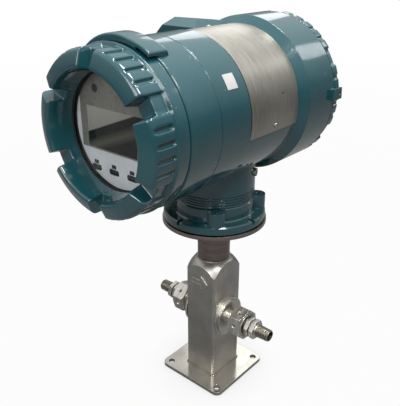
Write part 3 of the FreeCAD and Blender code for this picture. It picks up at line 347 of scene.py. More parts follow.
rubber = moulded("rubber", (0.016, 0.016, 0.016), 0.62)
black_resin = moulded("black_resin", (0.03, 0.03, 0.032), 0.45)
white_resin = moulded("white_resin", (0.72, 0.72, 0.69), 0.4)
cable_sheath = moulded("cable_sheath", (0.12, 0.125, 0.13), 0.5)
transformer_resin = moulded("transformer_resin", (0.1, 0.06, 0.03), 0.4)
capacitor_sleeve = moulded("capacitor_sleeve", (0.02, 0.03, 0.06), 0.3)
key_resin = moulded("key_resin", (0.006, 0.006, 0.008), 0.15, depth=0.000002)
panel_film = moulded("panel_film", (0.74, 0.77, 0.79), 0.32, depth=0.000004, vary=0.05)
frame_resin = moulded("frame_resin", (0.22, 0.215, 0.19), 0.3, depth=0.000004, vary=0.06)
label_film = moulded("label_film", (0.62, 0.62, 0.60), 0.4, depth=0.000004, vary=0.04)
tell(rubber, white_resin, panel_film)

# %% [markdown]
# ## Inside: copper and circuit boards
#
# A coil could be one long helix of wire, but rings across its height look the
# same. A board shows its mask, its tracks and its pads, which are three zones
# of one cell pattern.


# %% Make the winding and the circuit board
def winding(wire=0.0005):
    """Varnished copper: the turns of the wire are rings across Z, one wire's width apart."""
    finish, tree, surface = start_finish("winding", (0.62, 0.30, 0.14), 1.0, 0.32)
    turns = maths(tree, "SINE", maths(tree, "MULTIPLY", axes(tree)[Z], 2.0 * math.pi / wire))
    crest = spread(tree, turns, 0.0, 1.0, -1.0, 1.0)
    tone = blend(tree, crest, (0.36, 0.13, 0.05), (0.70, 0.36, 0.18))
    join(tree, surface, Base_Color=tone, Normal=relief(tree, turns, 0.00015))
    return finish


def circuit_board():
    """Green solder mask over tracks that run square to each other, with bright pads."""
    finish, tree, surface = start_finish("circuit_board", (0.02, 0.15, 0.06), 0.0, 0.35,
                                         Coat_Weight=0.3)
    inputs = {"Vector": places(tree), "Scale": 240.0, "Randomness": 0.35}
    cell = add(tree, "TexVoronoi", inputs, distance="MANHATTAN").outputs["Distance"]
    track = spread(tree, cell, 0.0, 1.0, 0.45, 0.55)
    tone = blend(tree, track, (0.015, 0.12, 0.05), (0.04, 0.22, 0.10))
    pad = spread(tree, cell, 1.0, 0.0, 0.08, 0.14)
    tone = blend(tree, pad, tone, (0.55, 0.5, 0.32))
    join(tree, surface, Base_Color=tone, Normal=relief(tree, cell, 0.00004))
    return finish


copper, board = winding(), circuit_board()
tell(copper, board)

# %% [markdown]
# ## The window's glass
#
# Glass shows only where it mirrors the room. A real glass shader would leave
# the display behind it dark and full of noise, so the pane is a thin mirror
# instead: as opaque as the share of light that it mirrors.


# %% Make the glass
def clear_glass():
    """Toughened glass as a thin mirror.

    Its opacity is the share that a face mirrors by Fresnel's law, plus a little haze. Faces
    seen from inside the pane are left out, so that a ray meets one mirror and not two.
    """
    finish, tree, surface = start_finish("clear_glass", (0.93, 0.97, 0.96), 1.0, 0.03)
    share = add(tree, "Fresnel", {"IOR": 1.45}).outputs["Fac"]
    haze = spread(tree, clouds(tree, 55.0, 4.0), 0.0, 0.004)
    veil = maths(tree, "ADD", share, haze)
    outside = maths(tree, "SUBTRACT", 1.0, add(tree, "NewGeometry").outputs["Backfacing"])
    join(tree, surface, Alpha=maths(tree, "MULTIPLY", veil, outside))
    return finish


glass = clear_glass()
tell(glass)

# %% [markdown]
# ## The dark screen
#
# The display is off. Its cell is warm grey, and a reflection is painted over it: nearly black
# below a slanting line, a dim band along that line, and paler higher up. A true mirror would show
# only our empty studio, so these zones are painted by their height above the line.


# %% Make the screen
def screen_cell(slope=0.40):
    """Unlit display cell, warm grey, with a painted reflection: near black below a slanting line.

    A point's height above the line is its Z less the slope times its X, and every zone of
    colour is a span of that height.
    """
    finish, tree, surface = start_finish("screen_cell", (0.1, 0.1, 0.09), 0.0, 0.2,
                                         Specular_IOR_Level=0.25)
    place = axes(tree)
    height = maths(tree, "SUBTRACT", place[Z], maths(tree, "MULTIPLY", place[X], slope))
    # Painted reflection: a dim band along the line, near black below it, and paler higher up.
    band = maths(tree, "MULTIPLY", spread(tree, height, 0.0, 1.0, 0.2990, 0.3050),
                 spread(tree, height, 1.0, 0.0, 0.3065, 0.3130))
    tone = blend(tree, band, (0.010, 0.012, 0.009), (0.085, 0.083, 0.060))
    above = spread(tree, height, 0.0, 1.0, 0.3190, 0.3202)
    tone = blend(tree, above, tone, (0.34, 0.335, 0.295))
    paler = spread(tree, height, 0.0, 0.6, 0.3202, 0.345)
    tone = blend(tree, paler, tone, (0.48, 0.47, 0.43))
    ghost = spread(tree, clouds(tree, 60.0, 3.0), 0.0, 0.03)
    join(tree, surface, Base_Color=blend(tree, ghost, tone, (0.12, 0.12, 0.11)))
    return finish


screen = screen_cell()
tell(screen)

# %% [markdown]
# ## Who wears what
#
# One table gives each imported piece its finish. What is turned about X shares
# one steel. The last line tells whether a piece was forgotten.

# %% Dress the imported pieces
WEARS = (
    (paint, "housing front_cover rear_cover neck_flange flange_bolts"),
    (satin, "sensor_casing"), (plate_steel, "base_plate"), (nameplate_sheet, "nameplate"),
    (fitting, "right_side_disc left_side_disc right_union_nut left_union_nut right_connector "
              "left_connector measuring_tube right_thrust_washer left_thrust_washer electrodes"),
    (drawn, "neck_pipe"), (disc_steel, "neck_disc"),
    (bolt, "nameplate_rivets front_lock_screw rear_lock_screw neck_lock_screw terminal_screws "
           "board_posts"),
    (rubber, "flange_gasket neck_seal cable_seal front_cover_seal rear_cover_seal "
             "window_gasket entry_plug_seal"),
    (white_resin, "right_connector_seal left_connector_seal tube_liner"),
    (iron, "upper_core lower_core coil_yoke"), (copper, "upper_coil lower_coil"),
    (board, "sensor_board display_board signal_board power_board"),
    (black_resin, "display_case window_ring terminal_block entry_plug"),
    (cable_sheath, "signal_cable"), (transformer_resin, "power_transformer"),
    (capacitor_sleeve, "capacitors"), (key_resin, "key_windows"), (panel_film, "display_panel"),
    (frame_resin, "screen_frame"), (screen, "display_screen"), (glass, "window_glass"),
    (label_film, "label"))
dressed = []
for finish, names in WEARS:
    for name in names.split():
        nodes[name].data.materials.clear()
        nodes[name].data.materials.append(finish)
        dressed.append(name)
print("dressed", len(dressed), "pieces; without a finish:", sorted(set(nodes) - set(dressed)))

# %% [markdown]
# ## Surfaces from numbers
#
# The covers, the connectors and the small details are surfaces worked out on
# a grid of two parameters. One helper turns such a grid of points into a mesh:
# rows run along the piece, columns run round it and close on themselves. It
# merges points that fall together at a pole and turns all faces outward.

# %% A mesh from a grid of points
MM_PER_METRE = 1000.0


def grid_piece(name, points, finish, body, closed_rows=False):
    """Join a grid of points (rows, columns, 3) into a mesh; the rows close too if asked."""
    rows, columns = points.shape[:2]
    index = np.arange(rows * columns).reshape(rows, columns)
    if closed_rows:
        index = np.vstack([index, index[:1]])
    right = np.roll(index, -1, axis=1)
    faces = np.stack([index[:-1], right[:-1], right[1:], index[1:]], axis=-1).reshape(-1, 4)
    mesh = bpy.data.meshes.new(name)
    mesh.from_pydata(points.reshape(-1, 3).tolist(), [], faces.tolist())
    shell = bmesh.new()
    shell.from_mesh(mesh)
    bmesh.ops.remove_doubles(shell, verts=shell.verts, dist=2e-6)
    bmesh.ops.recalc_face_normals(shell, faces=shell.faces)
    shell.to_mesh(mesh)
    shell.free()
    mesh.polygons.foreach_set("use_smooth", np.ones(len(mesh.polygons), bool))
    mesh.materials.append(finish)
    mesh.update()
    piece = bpy.data.objects.new(name, mesh)
    bpy.context.scene.collection.objects.link(piece)
    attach(piece, body)
    print(name, "has", len(mesh.polygons), "faces")
    return piece


print("grid helper ready")

# %% [markdown]
# ## The covers
#
# Both covers are castings, so none of their edges is sharp: the crown, the
# notches for a spanner and the fine grip grooves all melt into each other
# under the paint. A boolean cut can't make such a surface. Instead, a closed
# outline is carried round the cover's axis. First its corners are rounded.


# %% Round an outline
def rounded_outline(corners, steps=4, poles=False):
    """Replace each corner (along, radius, fillet) of a closed outline by a short curve.

    The curve is quadratic: it starts on one side of the corner, ends on the other, and the
    corner itself pulls its middle. Start and end lie where a circle of the fillet's radius
    would touch, that is the fillet divided by the tangent of half the corner's angle. With
    poles, the first and last corner lie on the axis, as points.
    """
    corner = np.array(corners, float)
    point, fillet = corner[:, :2], corner[:, 2]
    back, on = np.roll(point, 1, axis=0) - point, np.roll(point, -1, axis=0) - point
    back_length, on_length = np.linalg.norm(back, axis=1), np.linalg.norm(on, axis=1)
    back, on = back / back_length[:, None], on / on_length[:, None]
    half = 0.5 * np.arccos(np.clip((back * on).sum(axis=1), -0.999999, 0.999999))
    longest = 0.42 * np.minimum(back_length, on_length)
    reach = np.clip(fillet / np.tan(half), 0.2, longest)[:, None, None]
    share = np.linspace(0.0, 1.0, steps)[None, :, None]
    pull = (1.0 - share) ** 2 * back[:, None] + share ** 2 * on[:, None]
    curve = point[:, None] + reach * pull
    if poles:
        curve[0], curve[-1] = point[0], point[-1]
        return curve.reshape(-1, 2)[steps - 1:-(steps - 1)]
    return curve.reshape(-1, 2)


print("outline helper ready")

# %% [markdown]
# There are three outlines with the same number of points, for a plain land,
# for a notch and for a groove. The angle decides how much of each is used, and
# smooth shares give the walls soft edges. Each of six sectors holds one notch
# and four grooves, and the columns stand close together only on their walls.

# %% Shares of the notch and the grooves
SECTOR, FIRST_NOTCH = 60.0, 30.0
NOTCH_FLOOR, NOTCH_TOP = 5.7, 7.3
GROOVES, GROOVE_FLOOR, GROOVE_TOP = (-14.7, -4.9, 4.9, 14.7), 0.8, 2.15


def fall(distance, floor, top):
    """Return 1 up to the floor's half width and 0 beyond the top's, with a smooth step between."""
    share = np.clip((top - distance) / (top - floor), 0.0, 1.0)
    return share * share * (3.0 - 2.0 * share)


def off_nearest(angle, first):
    """Return how far an angle is off the nearest of six directions, the first one given."""
    return (angle - first + SECTOR / 2.0) % SECTOR - SECTOR / 2.0


def cover_angles():
    """Return the angles of the columns in degrees: dense on walls, sparse between them."""
    wall = np.linspace(0.0, 1.0, 7)
    notch_wall, groove_wall = NOTCH_TOP - NOTCH_FLOOR, GROOVE_TOP - GROOVE_FLOOR
    parts = [np.linspace(-NOTCH_FLOOR, NOTCH_FLOOR, 6), NOTCH_FLOOR + wall[1:] * notch_wall]
    for middle in SECTOR / 2.0 + np.array(GROOVES):
        parts.append(np.linspace(parts[-1][-1], middle - GROOVE_TOP, 5)[1:])
        rise = middle - GROOVE_TOP + wall[1:] * groove_wall
        floor = middle - GROOVE_FLOOR + wall[2::2] * 2.0 * GROOVE_FLOOR
        parts += [rise, floor, 2.0 * middle - rise[::-1][1:], [middle + GROOVE_TOP]]
    parts.append(np.linspace(parts[-1][-1], SECTOR - NOTCH_TOP, 5)[1:])
    parts.append(SECTOR - NOTCH_TOP + wall[1:-1] * notch_wall)
    one = FIRST_NOTCH + np.concatenate(parts)
    return (one[None, :] + SECTOR * np.arange(6)[:, None]).reshape(-1)


def cover_surface(land, notch, groove, poles=False):
    """Carry the three outlines round the axis.

    Each point is the land's, plus the notch's share times the way to the notch, plus the
    groove's share times the way to the groove. Returns the grid's places along the axis, its
    radii and its angles.
    """
    angle = cover_angles()
    off_groove = off_nearest(angle, 0.0)
    from_groove = np.min([np.abs(off_groove - middle) for middle in GROOVES], axis=0)
    in_notch = fall(np.abs(off_nearest(angle, FIRST_NOTCH)), NOTCH_FLOOR, NOTCH_TOP)
    dip = fall(from_groove, GROOVE_FLOOR, GROOVE_TOP)[None, :, None]
    share = in_notch[None, :, None]
    land, notch, groove = (rounded_outline(outline, poles=poles)[:, None, :]
                           for outline in (land, notch, groove))
    outline = land + share * (notch - land) + dip * (groove - land)
    return outline[..., 0], outline[..., 1], np.radians(angle)[None, :]


print("a cover has", len(cover_angles()), "columns")

# %% [markdown]
# ### The front cover
#
# A bar laid through the notches turns this cover, so its crown is deep. The
# corners run from the window's mouth over the crown to the bead at the lip,
# and back through the skirt: place, radius and fillet in millimetres.

# %% Build the front cover
AXIS_HEIGHT = 312.0
FRONT_LAND = [
    (-131, 49.3, .4), (-155, 54, 2.6), (-150, 66.8, 4), (-147, 68.8, 4), (-143.5, 68.8, 0),
    (-140, 68.8, 0), (-131, 68.8, 0), (-129.5, 68.8, 0), (-127.8, 68.8, .6), (-126.5, 71, 1.2),
    (-125, 69.6, .8), (-113.5, 69.6, .7), (-113.5, 65, .3), (-115.5, 65, .3),
    (-115.5, 61.7, .3), (-100, 61.7, .5), (-100, 57.3, .5), (-131, 57.3, .3)]
FRONT_NOTCH = [
    FRONT_LAND[0], (-140, 51.06, 1.2), (-140, 66.8, 2), (-137.5, 66.8, 0), (-136, 66.8, 0),
    (-134.5, 66.8, 0), (-131, 66.8, 0), (-129.5, 66.8, 0), (-128.2, 66.8, .8), *FRONT_LAND[9:]]
FRONT_GROOVE = [
    *FRONT_LAND[:3], (-147.4, 68.4, 2), (-145.6, 66.75, .8), (-140, 66.75, 0),
    (-131, 66.75, 0), (-129, 66.75, .6), (-128, 68.6, .3), *FRONT_LAND[9:]]


def about_barrel(along, radius, turn):
    """Return points in metres at places along the barrel's axis, radii and angles."""
    points = np.stack([radius * np.cos(turn), along, AXIS_HEIGHT + radius * np.sin(turn)], -1)
    return points / MM_PER_METRE


points = about_barrel(*cover_surface(FRONT_LAND, FRONT_NOTCH, FRONT_GROOVE))
front_cover = grid_piece("front_cover_casting", points, paint, "front_cover",
                         closed_rows=True)
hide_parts("front_cover")

# %% [markdown]
# ### The rear cover
#
# The rear cover is blind: its outline starts and ends on the axis, where the
# grid closes in two poles. It is drawn facing forwards and turned half round.

# %% Build the rear cover
REAR_LAND = [
    (-100.3, 0, 0), (-100.3, 30, 0), (-100.3, 60, 1.5), (-106.3, 60, 2.2), (-101.1, 76.2, 1.5),
    (-100.3, 77, 1), (-95, 77, 0), (-92.5, 77, 0), (-91.5, 77, .5), (-91.5, 71, .3),
    (-93.5, 71, .3), (-93.5, 67.7, .3), (-78, 67.7, .5), (-78, 63.3, .5), (-96.3, 63.3, .8),
    (-96.3, 0, 0)]
REAR_NOTCH = [
    *REAR_LAND[:2], (-100.3, 58, .5), (-100.35, 60, .5), (-100.3, 75, 1), (-99.5, 75, .3),
    (-95, 75, 0), (-92.9, 75, .5), (-92.6, 77, .4), *REAR_LAND[9:]]
REAR_GROOVE = [
    *REAR_LAND[:4], (-101.36, 75.4, .5), (-100, 75.4, 0), (-95, 75.4, 0), (-92.9, 75.4, .5),
    (-92.6, 77, .4), *REAR_LAND[9:]]
HALF_TURN = (-1.0, -1.0, 1.0)
points = about_barrel(*cover_surface(REAR_LAND, REAR_NOTCH, REAR_GROOVE, poles=True))
rear_cover = grid_piece("rear_cover_casting", points * HALF_TURN, paint, "rear_cover")
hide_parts("rear_cover")

# %% [markdown]
# ## The connectors
#
# Each connector is turned from hexagon bar: a threaded head that sits in the
# union nut, two hexagon lands with a groove between them, and a nipple with a
# pipe thread. Its surface is a grid of places along the axis and angles round
# it. On the lands the turned radius is held down to the hexagon, which gives
# the curved chamfers of a real nut. The thread is one more term: a zigzag
# whose phase runs on with the angle, so it is a true helix.

# %% The connector's profile and its grid
FLOW_HEIGHT, HEX_HALF, HEX_TURN = 75.3, 9.5, math.radians(18.0)
HEAD_PROFILE = [
    (42.3, 4.5), (42.3, 12.2), (42.8, 12.7), (47.8, 12.7), (48.3, 12.2), (48.3, 8.8),
    (49.8, 8.8), (49.8, 10.3), (50.4, 10.97), (53.9, 10.97), (54.5, 10.3), (54.65, 8.5),
    (56.15, 8.5), (56.3, 10.3), (56.9, 10.97), (60.4, 10.97), (61.0, 10.2), (61.0, 6.05),
    (62.0, 6.05)]
LANDS_START = 49.0
NIPPLE = (62.0, 77.5, 6.85, 1.411, 1.05)  # start, end, crest's radius, pitch, depth
TAPER, RUN_OUT, END_CHAMFER = 1.0 / 32.0, 0.9, 0.75


def from_flat(turn, tilt):
    """Return the angle from the middle of the nearest flat of a hexagon tilted about its axis."""
    return (turn - tilt + np.pi / 6.0) % (np.pi / 3.0) - np.pi / 6.0


def zigzag(phase):
    """Return a wave from 0 to 1 with flat crests, which rises and falls once per whole number."""
    return np.clip(1.35 - 2.7 * np.abs((phase + 0.5) % 1.0 - 0.5), 0.0, 1.0)


def about_flow(along, radius, turn):
    """Return points in metres at places along the flow's axis, radii and angles."""
    across, up = radius * np.cos(turn), FLOW_HEIGHT + radius * np.sin(turn)
    return np.stack([along + 0.0 * turn, across, up], axis=-1) / MM_PER_METRE


def connector_grid(steps=9, columns=96):
    """Return the right connector's points, from its bore round the outside and back.

    On a land the radius is at most the flat's distance: half the width over flats, divided by
    the cosine of the angle from the flat's middle. On the nipple it is the tapered crest less
    the thread's depth where the zigzag is low, and the thread fades out at both ends.
    """
    turn = np.linspace(0.0, 2.0 * np.pi, columns, endpoint=False)[None, :]
    corner = np.array(HEAD_PROFILE)
    share = np.linspace(0.0, 1.0, 3, endpoint=False)[None, :, None]
    head = (corner[:-1, None] * (1.0 - share) + corner[1:, None] * share).reshape(-1, 2)
    flats = np.minimum(head[:, 1:], HEX_HALF / np.cos(from_flat(turn, HEX_TURN)))
    outside = np.where(head[:, :1] > LANDS_START, flats, head[:, 1:])
    start, end, crest, pitch, deep = NIPPLE
    along = np.linspace(start, end, round((end - start) / pitch * steps))
    fade = np.clip(np.minimum(along - start, end - along) / RUN_OUT, 0.0, 1.0)[:, None]
    cut = deep * (1.0 - zigzag(along[:, None] / pitch - turn / (2.0 * np.pi)))
    nipple = (crest - (along - start) * TAPER)[:, None] - cut * fade - END_CHAMFER * (1.0 - fade)
    bore = np.array([5.0, 4.5, 4.5])[:, None] + 0.0 * turn
    place = np.concatenate([head[:, 0], along, [end, end - 0.6, HEAD_PROFILE[0][0]]])[:, None]
    return about_flow(place, np.vstack([outside, nipple, bore]), turn)


right_half = connector_grid()
print("a connector is a grid of", right_half.shape[:2], "points")

# %% [markdown]
# Oil has turned the nipple olive, and both grooves and the bore are painted dark, as shade. These
# marks lie on the same steel, so the finish finds them: by the distance along the flow's axis, and
# in the bore by the distance from it.

# %% Mark the steel and build the connectors
# Olive is an oil stain; the two darks are painted shade for the grooves, the pin holes and the
# bore.
OLIVE, RECESS_SHADE, BORE_SHADE = (0.34, 0.325, 0.265), (0.07, 0.066, 0.055), (0.03, 0.028, 0.024)


def from_middle(tree):
    """Return a point's distance along the flow's axis from the middle of the casing."""
    return maths(tree, "ABSOLUTE", axes(tree)[X])


def on_nipple(tree):
    """Return 1 from the nipple's root outwards."""
    return spread(tree, from_middle(tree), 0.0, 1.0, 0.0615, 0.0621)


def in_groove(middle):
    """Make a mark of painted shade for one groove: 1 within two thirds of a millimetre of its
    middle.
    """
    def lies(tree):
        away = maths(tree, "ABSOLUTE", maths(tree, "SUBTRACT", from_middle(tree), middle))
        return spread(tree, away, 1.0, 0.0, 0.00065, 0.00085)
    return lies


def in_bore(tree):
    """Return 1 inside the nipple's bore, where shade is painted, by the distance from the flow's
    axis.
    """
    on_axis = (0.0, 0.0, FLOW_HEIGHT / MM_PER_METRE)
    off = add(tree, "VectorMath", {0: places(tree), 1: on_axis}, operation="SUBTRACT").outputs[0]
    flat = add(tree, "VectorMath", {0: off, 1: (0.0, 1.0, 1.0)}, operation="MULTIPLY").outputs[0]
    return spread(tree, length(tree, flat), 1.0, 0.0, 0.0048, 0.0051)


# The grooves and the bore get painted shade; the nipple's olive is an oil stain.
nipple_steel = turned_steel("nipple_steel", *TURNED, marks=(
    (on_nipple, OLIVE), (in_groove(0.04905), RECESS_SHADE), (in_groove(0.0554), RECESS_SHADE),
    (in_bore, BORE_SHADE)))
SIDES = (("right", (1.0, 1.0, 1.0)), ("left", HALF_TURN))
for side, mirror in SIDES:
    piece = grid_piece(f"{side}_connector_turned", right_half * mirror, nipple_steel,
                       "sensor", closed_rows=True)
    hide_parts(f"{side}_connector")

# %% [markdown]
# ## The union nuts
#
# A union nut is made the same way: a turned outline held down to a hexagon. The blind pin hole in
# each flat is one more term, a smooth dip inside a small circle round the flat's middle. The hole
# is painted dark, as shade, and the finish finds the holes by the same angles as the shape does.

# %% The nut's outline and its grid
NUT_OUTLINE = [
    (32.3, 8.7), (32.3, 14.9), (34.4, 17.9), (46.2, 17.9), (48.3, 14.9), (48.3, 13.9),
    (47.9, 13.7), (47.9, 13.0), (35.4, 13.0), (35.4, 8.7)]
NUT_HALF, NUT_TURN, NUT_INSIDE = 15.5, math.radians(48.0), 14.0
PIN_HOLE = (40.6, 1.9, 1.7)  # place along the axis, radius, depth


def dense(path, step, closed=False):
    """Fill a path with points about a step apart; a closed one runs on to its first point."""
    path = np.array(path, float)
    count = len(path) if closed else len(path) - 1
    parts = []
    for start, end in zip(path[:count], np.roll(path, -1, axis=0)):
        steps = max(1, round(np.linalg.norm(end - start) / step))
        parts.append(start + (end - start) * np.linspace(0, 1, steps, False)[:, None])
    return np.concatenate(parts if closed else [*parts, path[-1:]])


def nut_grid(columns=360):
    """Return the right nut's points, its outline carried round its axis.

    Outside, the radius is at most the flat's distance from the axis less the pin hole's depth,
    which counts inside a circle round the flat's middle and falls off at its rim.
    """
    turn = np.linspace(0.0, 2.0 * np.pi, columns, endpoint=False)[None, :]
    outline = dense(NUT_OUTLINE, 0.35)
    along, radius = outline[:, :1], outline[:, 1:]
    off = from_flat(turn, NUT_TURN)
    place, wide, deep = PIN_HOLE
    away = np.hypot(along - place, NUT_HALF * np.tan(off))
    flat = NUT_HALF / np.cos(off) - deep * fall(away, wide - 0.25, wide + 0.1)
    radius = np.where(radius > NUT_INSIDE, np.minimum(radius, flat), radius)
    return about_flow(along, radius, turn)


nut = nut_grid()
print("a nut is a grid of", nut.shape[:2], "points")


# %% Mark the pin holes and build the nuts
def in_pin_hole(tree):
    """Return 1 inside the pin holes, where shade is painted, by the distance from a hole's middle
    on its flat.

    The left nut is the right one turned half round, so Y is taken with the sign of X.
    """
    place = axes(tree)
    across = maths(tree, "MULTIPLY", place[Y], maths(tree, "SIGN", place[X]))
    up = maths(tree, "SUBTRACT", place[Z], FLOW_HEIGHT / MM_PER_METRE)
    turn = maths(tree, "ADD", maths(tree, "ARCTAN2", up, across), np.pi / 6.0 - NUT_TURN)
    off = maths(tree, "SUBTRACT", maths(tree, "FLOORED_MODULO", turn, np.pi / 3.0), np.pi / 6.0)
    off = maths(tree, "MULTIPLY", off, NUT_HALF / MM_PER_METRE)
    along = maths(tree, "SUBTRACT", from_middle(tree), PIN_HOLE[0] / MM_PER_METRE)
    flat = add(tree, "CombineXYZ", {0: along, 1: off}).outputs[0]
    return spread(tree, length(tree, flat), 1.0, 0.0, 0.0014, 0.0017)


# The pin holes get painted shade.
nut_steel = turned_steel("nut_steel", *TURNED, marks=((in_pin_hole, RECESS_SHADE),))
for side, mirror in SIDES:
    piece = grid_piece(f"{side}_nut_turned", nut * mirror, nut_steel,
                       f"{side}_nut", closed_rows=True)
    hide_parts(f"{side}_union_nut")

# %% [markdown]
# ## The lug over the front cover
#
# A crescent of the casting reaches over the cover's lip as a soft swelling and
# ends in an ear for the lock screw. Its section, in the plane through the
# barrel's axis, is again a rounded outline. The outer side follows a disc set
# off from the axis, the ear keeps one height, and both ends shrink to a point.

# %% Build the lug's skin
LUG_MIDDLE, DISC_OFFSET, DISC_RADIUS = 93.0, 23.5, 52.0
EAR_START, EAR_END, EAR_HEIGHT = 61.3, 81.0, 74.6
LOWEST_TOP = 70.75


def lug_height(angle):
    """Return the lug's outer radius at an angle in degrees: the disc's or the ear's, the larger.

    The disc's edge is found by the law of cosines. The ear's near end is a quarter circle.
    """
    away = np.radians(angle - LUG_MIDDLE)
    across = DISC_OFFSET * np.sin(away)
    disc = DISC_OFFSET * np.cos(away) + np.sqrt(DISC_RADIUS ** 2 - across ** 2)
    end = np.clip((EAR_START - angle) / 1.9, 0.0, 1.0)
    ear = EAR_HEIGHT - 2.2 * (1.0 - np.sqrt(1.0 - end ** 2))
    return np.maximum(disc, np.where(angle < EAR_END, ear, 0.0)) + 0.7


def lug_section(low, high):
    """Return the lug's rounded outline (along, radius) between an inner and an outer radius."""
    ease = (high - 70.6) / 5.6
    return rounded_outline([(-122.55, low, .3), (-122.65, high, 2.5 * ease),
                            (-103, high, 3 * ease), (-99.5, 69.9, .5), (-111.8, 69.9, .3),
                            (-111.8, low, .3)], 6)


angles = np.concatenate([np.linspace(59.4, 61.4, 11), np.arange(62.0, 127.0, 0.75)])
lows = np.where(angles < 71.4, 72.3, 70.5)  # the ear stands clear of the cover's bead
highs = np.maximum(lug_height(angles), LOWEST_TOP)
sections = np.array([lug_section(low, high) for low, high in zip(lows, highs)])
poles = sections.mean(axis=1, keepdims=True) + 0.0 * sections
sections = np.concatenate([poles[:1], sections, poles[-1:]])
turn = np.radians(np.concatenate([angles[:1], angles, angles[-1:]]))[:, None]
points = about_barrel(sections[..., 0], sections[..., 1], turn)
grid_piece("front_lug_skin", points, paint, "head")

# %% [markdown]
# ## Welds and the arrow's edge
#
# A weld is a bead laid along a seam: a small circle carried along a closed path, slightly lumpy
# where the pool froze. The same helper lays a bright steel bead round the raised flow arrow, a
# painted highlight on its edges.


# %% A bead along a closed path
def bead(name, path, up, radius, finish, lumps=0.0, squash=1.0):
    """Carry a small ellipse along a closed path, both in millimetres.

    Its first axis is square to the path and to up, its second is up, times the squash. The
    size wavers by the lumps' share, as the product of two sines of the point's number.
    """
    path, up = np.array(path, float), np.array(up, float) * np.ones((len(path), 3))
    tangent = np.roll(path, -1, axis=0) - np.roll(path, 1, axis=0)
    side = np.cross(tangent, up)
    side /= np.linalg.norm(side, axis=1, keepdims=True)
    count = np.arange(len(path))
    size = radius * (1.0 + lumps * np.sin(count * 1.9) * np.sin(count * 0.37))[:, None, None]
    turn = np.linspace(0.0, 2.0 * np.pi, 10, endpoint=False)[None, :, None]
    ring = np.cos(turn) * side[:, None] + squash * np.sin(turn) * up[:, None]
    points = (path[:, None] + size * ring) / MM_PER_METRE
    return grid_piece(name, points, finish, "sensor", closed_rows=True)


def circle(radius, height, steps=120):
    """Return the points of a level circle round the pipe's axis."""
    turn = np.linspace(0.0, 2.0 * np.pi, steps, endpoint=False)
    return np.stack([radius * np.cos(turn), radius * np.sin(turn), np.full(steps, height)], -1)


print("bead helper ready")

# %% Lay the beads
weld = blasted_steel("weld_steel", (0.40, 0.37, 0.31), (0.25, 0.23, 0.19), rough=0.3)
UP, FORWARD = (0.0, 0.0, 1.0), (0.0, -1.0, 0.0)
ARROW_HEIGHT, ARROW_FACE, FOOT_TOP = 121.0, -23.8, 4.1
foot = dense(rounded_outline([(-20.3, -23.3, 4), (20.3, -23.3, 4), (20.3, 23.3, 4),
                              (-20.3, 23.3, 4)], 8), 1.0, closed=True)
foot = np.column_stack([foot, np.full(len(foot), FOOT_TOP)])
# The casing is welded to the plate, and this darker bead also stands in for the line of shade at
# the casing's foot.
bead("foot_weld", foot, UP, 0.9, weld, lumps=0.2)
bead("pipe_weld", circle(17.5, 144.9), UP, 1.1, weld, lumps=0.2)
bead("collar_weld", circle(18.9, 188.7), UP, 1.4, disc_steel, lumps=0.05)
arrow = rounded_outline([(-10.3, -2.6, .5), (1.8, -2.6, .4), (1.8, -8, .6), (10.2, 0, .5),
                         (1.8, 8, .6), (1.8, 2.6, .4), (-10.3, 2.6, .5)], 5)
arrow = np.column_stack([arrow[:, 0], np.full(len(arrow), ARROW_FACE), ARROW_HEIGHT + arrow[:, 1]])
# A bright bead round the arrow: a painted highlight on its edges.
bead("arrow_edge", dense(arrow, 1.5, closed=True), FORWARD, 0.4, fitting,
     squash=0.5)

# %% [markdown]
# ## The rivets
#
# Two blind rivets hold the nameplate. Half a sphere would stand too high and
# have no rim, so each head is a flat foot, a short rim and a quarter ellipse,
# carried round the direction that points away from the barrel's axis.


# %% Set the rivets
def dome(centre, out, radius, height, sink=0.3, columns=32):
    """Return the points of a rivet head: a flat foot, a short rim and a quarter ellipse."""
    rise = np.linspace(0.0, np.pi / 2.0, 8)
    reach = np.concatenate([[0.0, radius], radius * np.cos(rise)])
    level = np.concatenate([[-sink, -sink], 0.25 * height + 0.75 * height * np.sin(rise)])
    turn = np.linspace(0.0, 2.0 * np.pi, columns, endpoint=False)[None, :, None]
    out, along = np.array(out), np.array((0.0, 1.0, 0.0))
    around = np.cos(turn) * np.cross(out, along) + np.sin(turn) * along
    return np.array(centre) + reach[:, None, None] * around + level[:, None, None] * out


SHEET_RADIUS, RIVET_PLACE = 69.9, 1.2
for number, angle in enumerate(np.radians((-8.2, 98.8))):
    out = np.array((math.cos(angle), 0.0, math.sin(angle)))
    centre = out * SHEET_RADIUS + (0.0, RIVET_PLACE, AXIS_HEIGHT)
    points = dome(centre, out, 2.6, 1.4) / MM_PER_METRE
    rivet = grid_piece(f"rivet_{number}", points, bolt, "head")
    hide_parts("nameplate_rivets")

# %% [markdown]
# ## The keys' print
#
# Each optical key is a window in a dark printed field: a long round-ended one
# below and a short one above. A colour could draw them, but the print is a
# film a tenth of a millimetre thick, whose rim catches the light.

# %% Print round the keys
key_print = moulded("key_print", (0.012, 0.012, 0.014), 0.5, depth=0.000002)
FILM_BACK, FILM_FRONT = -125.95, -126.05


def decal(name, x, z, wide, tall, round_by):
    """Lay a thin film on the display's panel: a rounded outline, closed at front and back."""
    half, up = wide / 2.0, tall / 2.0
    edge = rounded_outline([(-half, -up, round_by), (half, -up, round_by), (half, up, round_by),
                            (-half, up, round_by)], 8)
    rings = [(0.0 * edge, FILM_BACK), (edge, FILM_BACK), (edge, FILM_FRONT),
             (0.0 * edge, FILM_FRONT)]
    points = np.array([np.column_stack([x + ring[:, 0], np.full(len(ring), y), z + ring[:, 1]])
                       for ring, y in rings])
    grid_piece(name, points / MM_PER_METRE, key_print, "head")


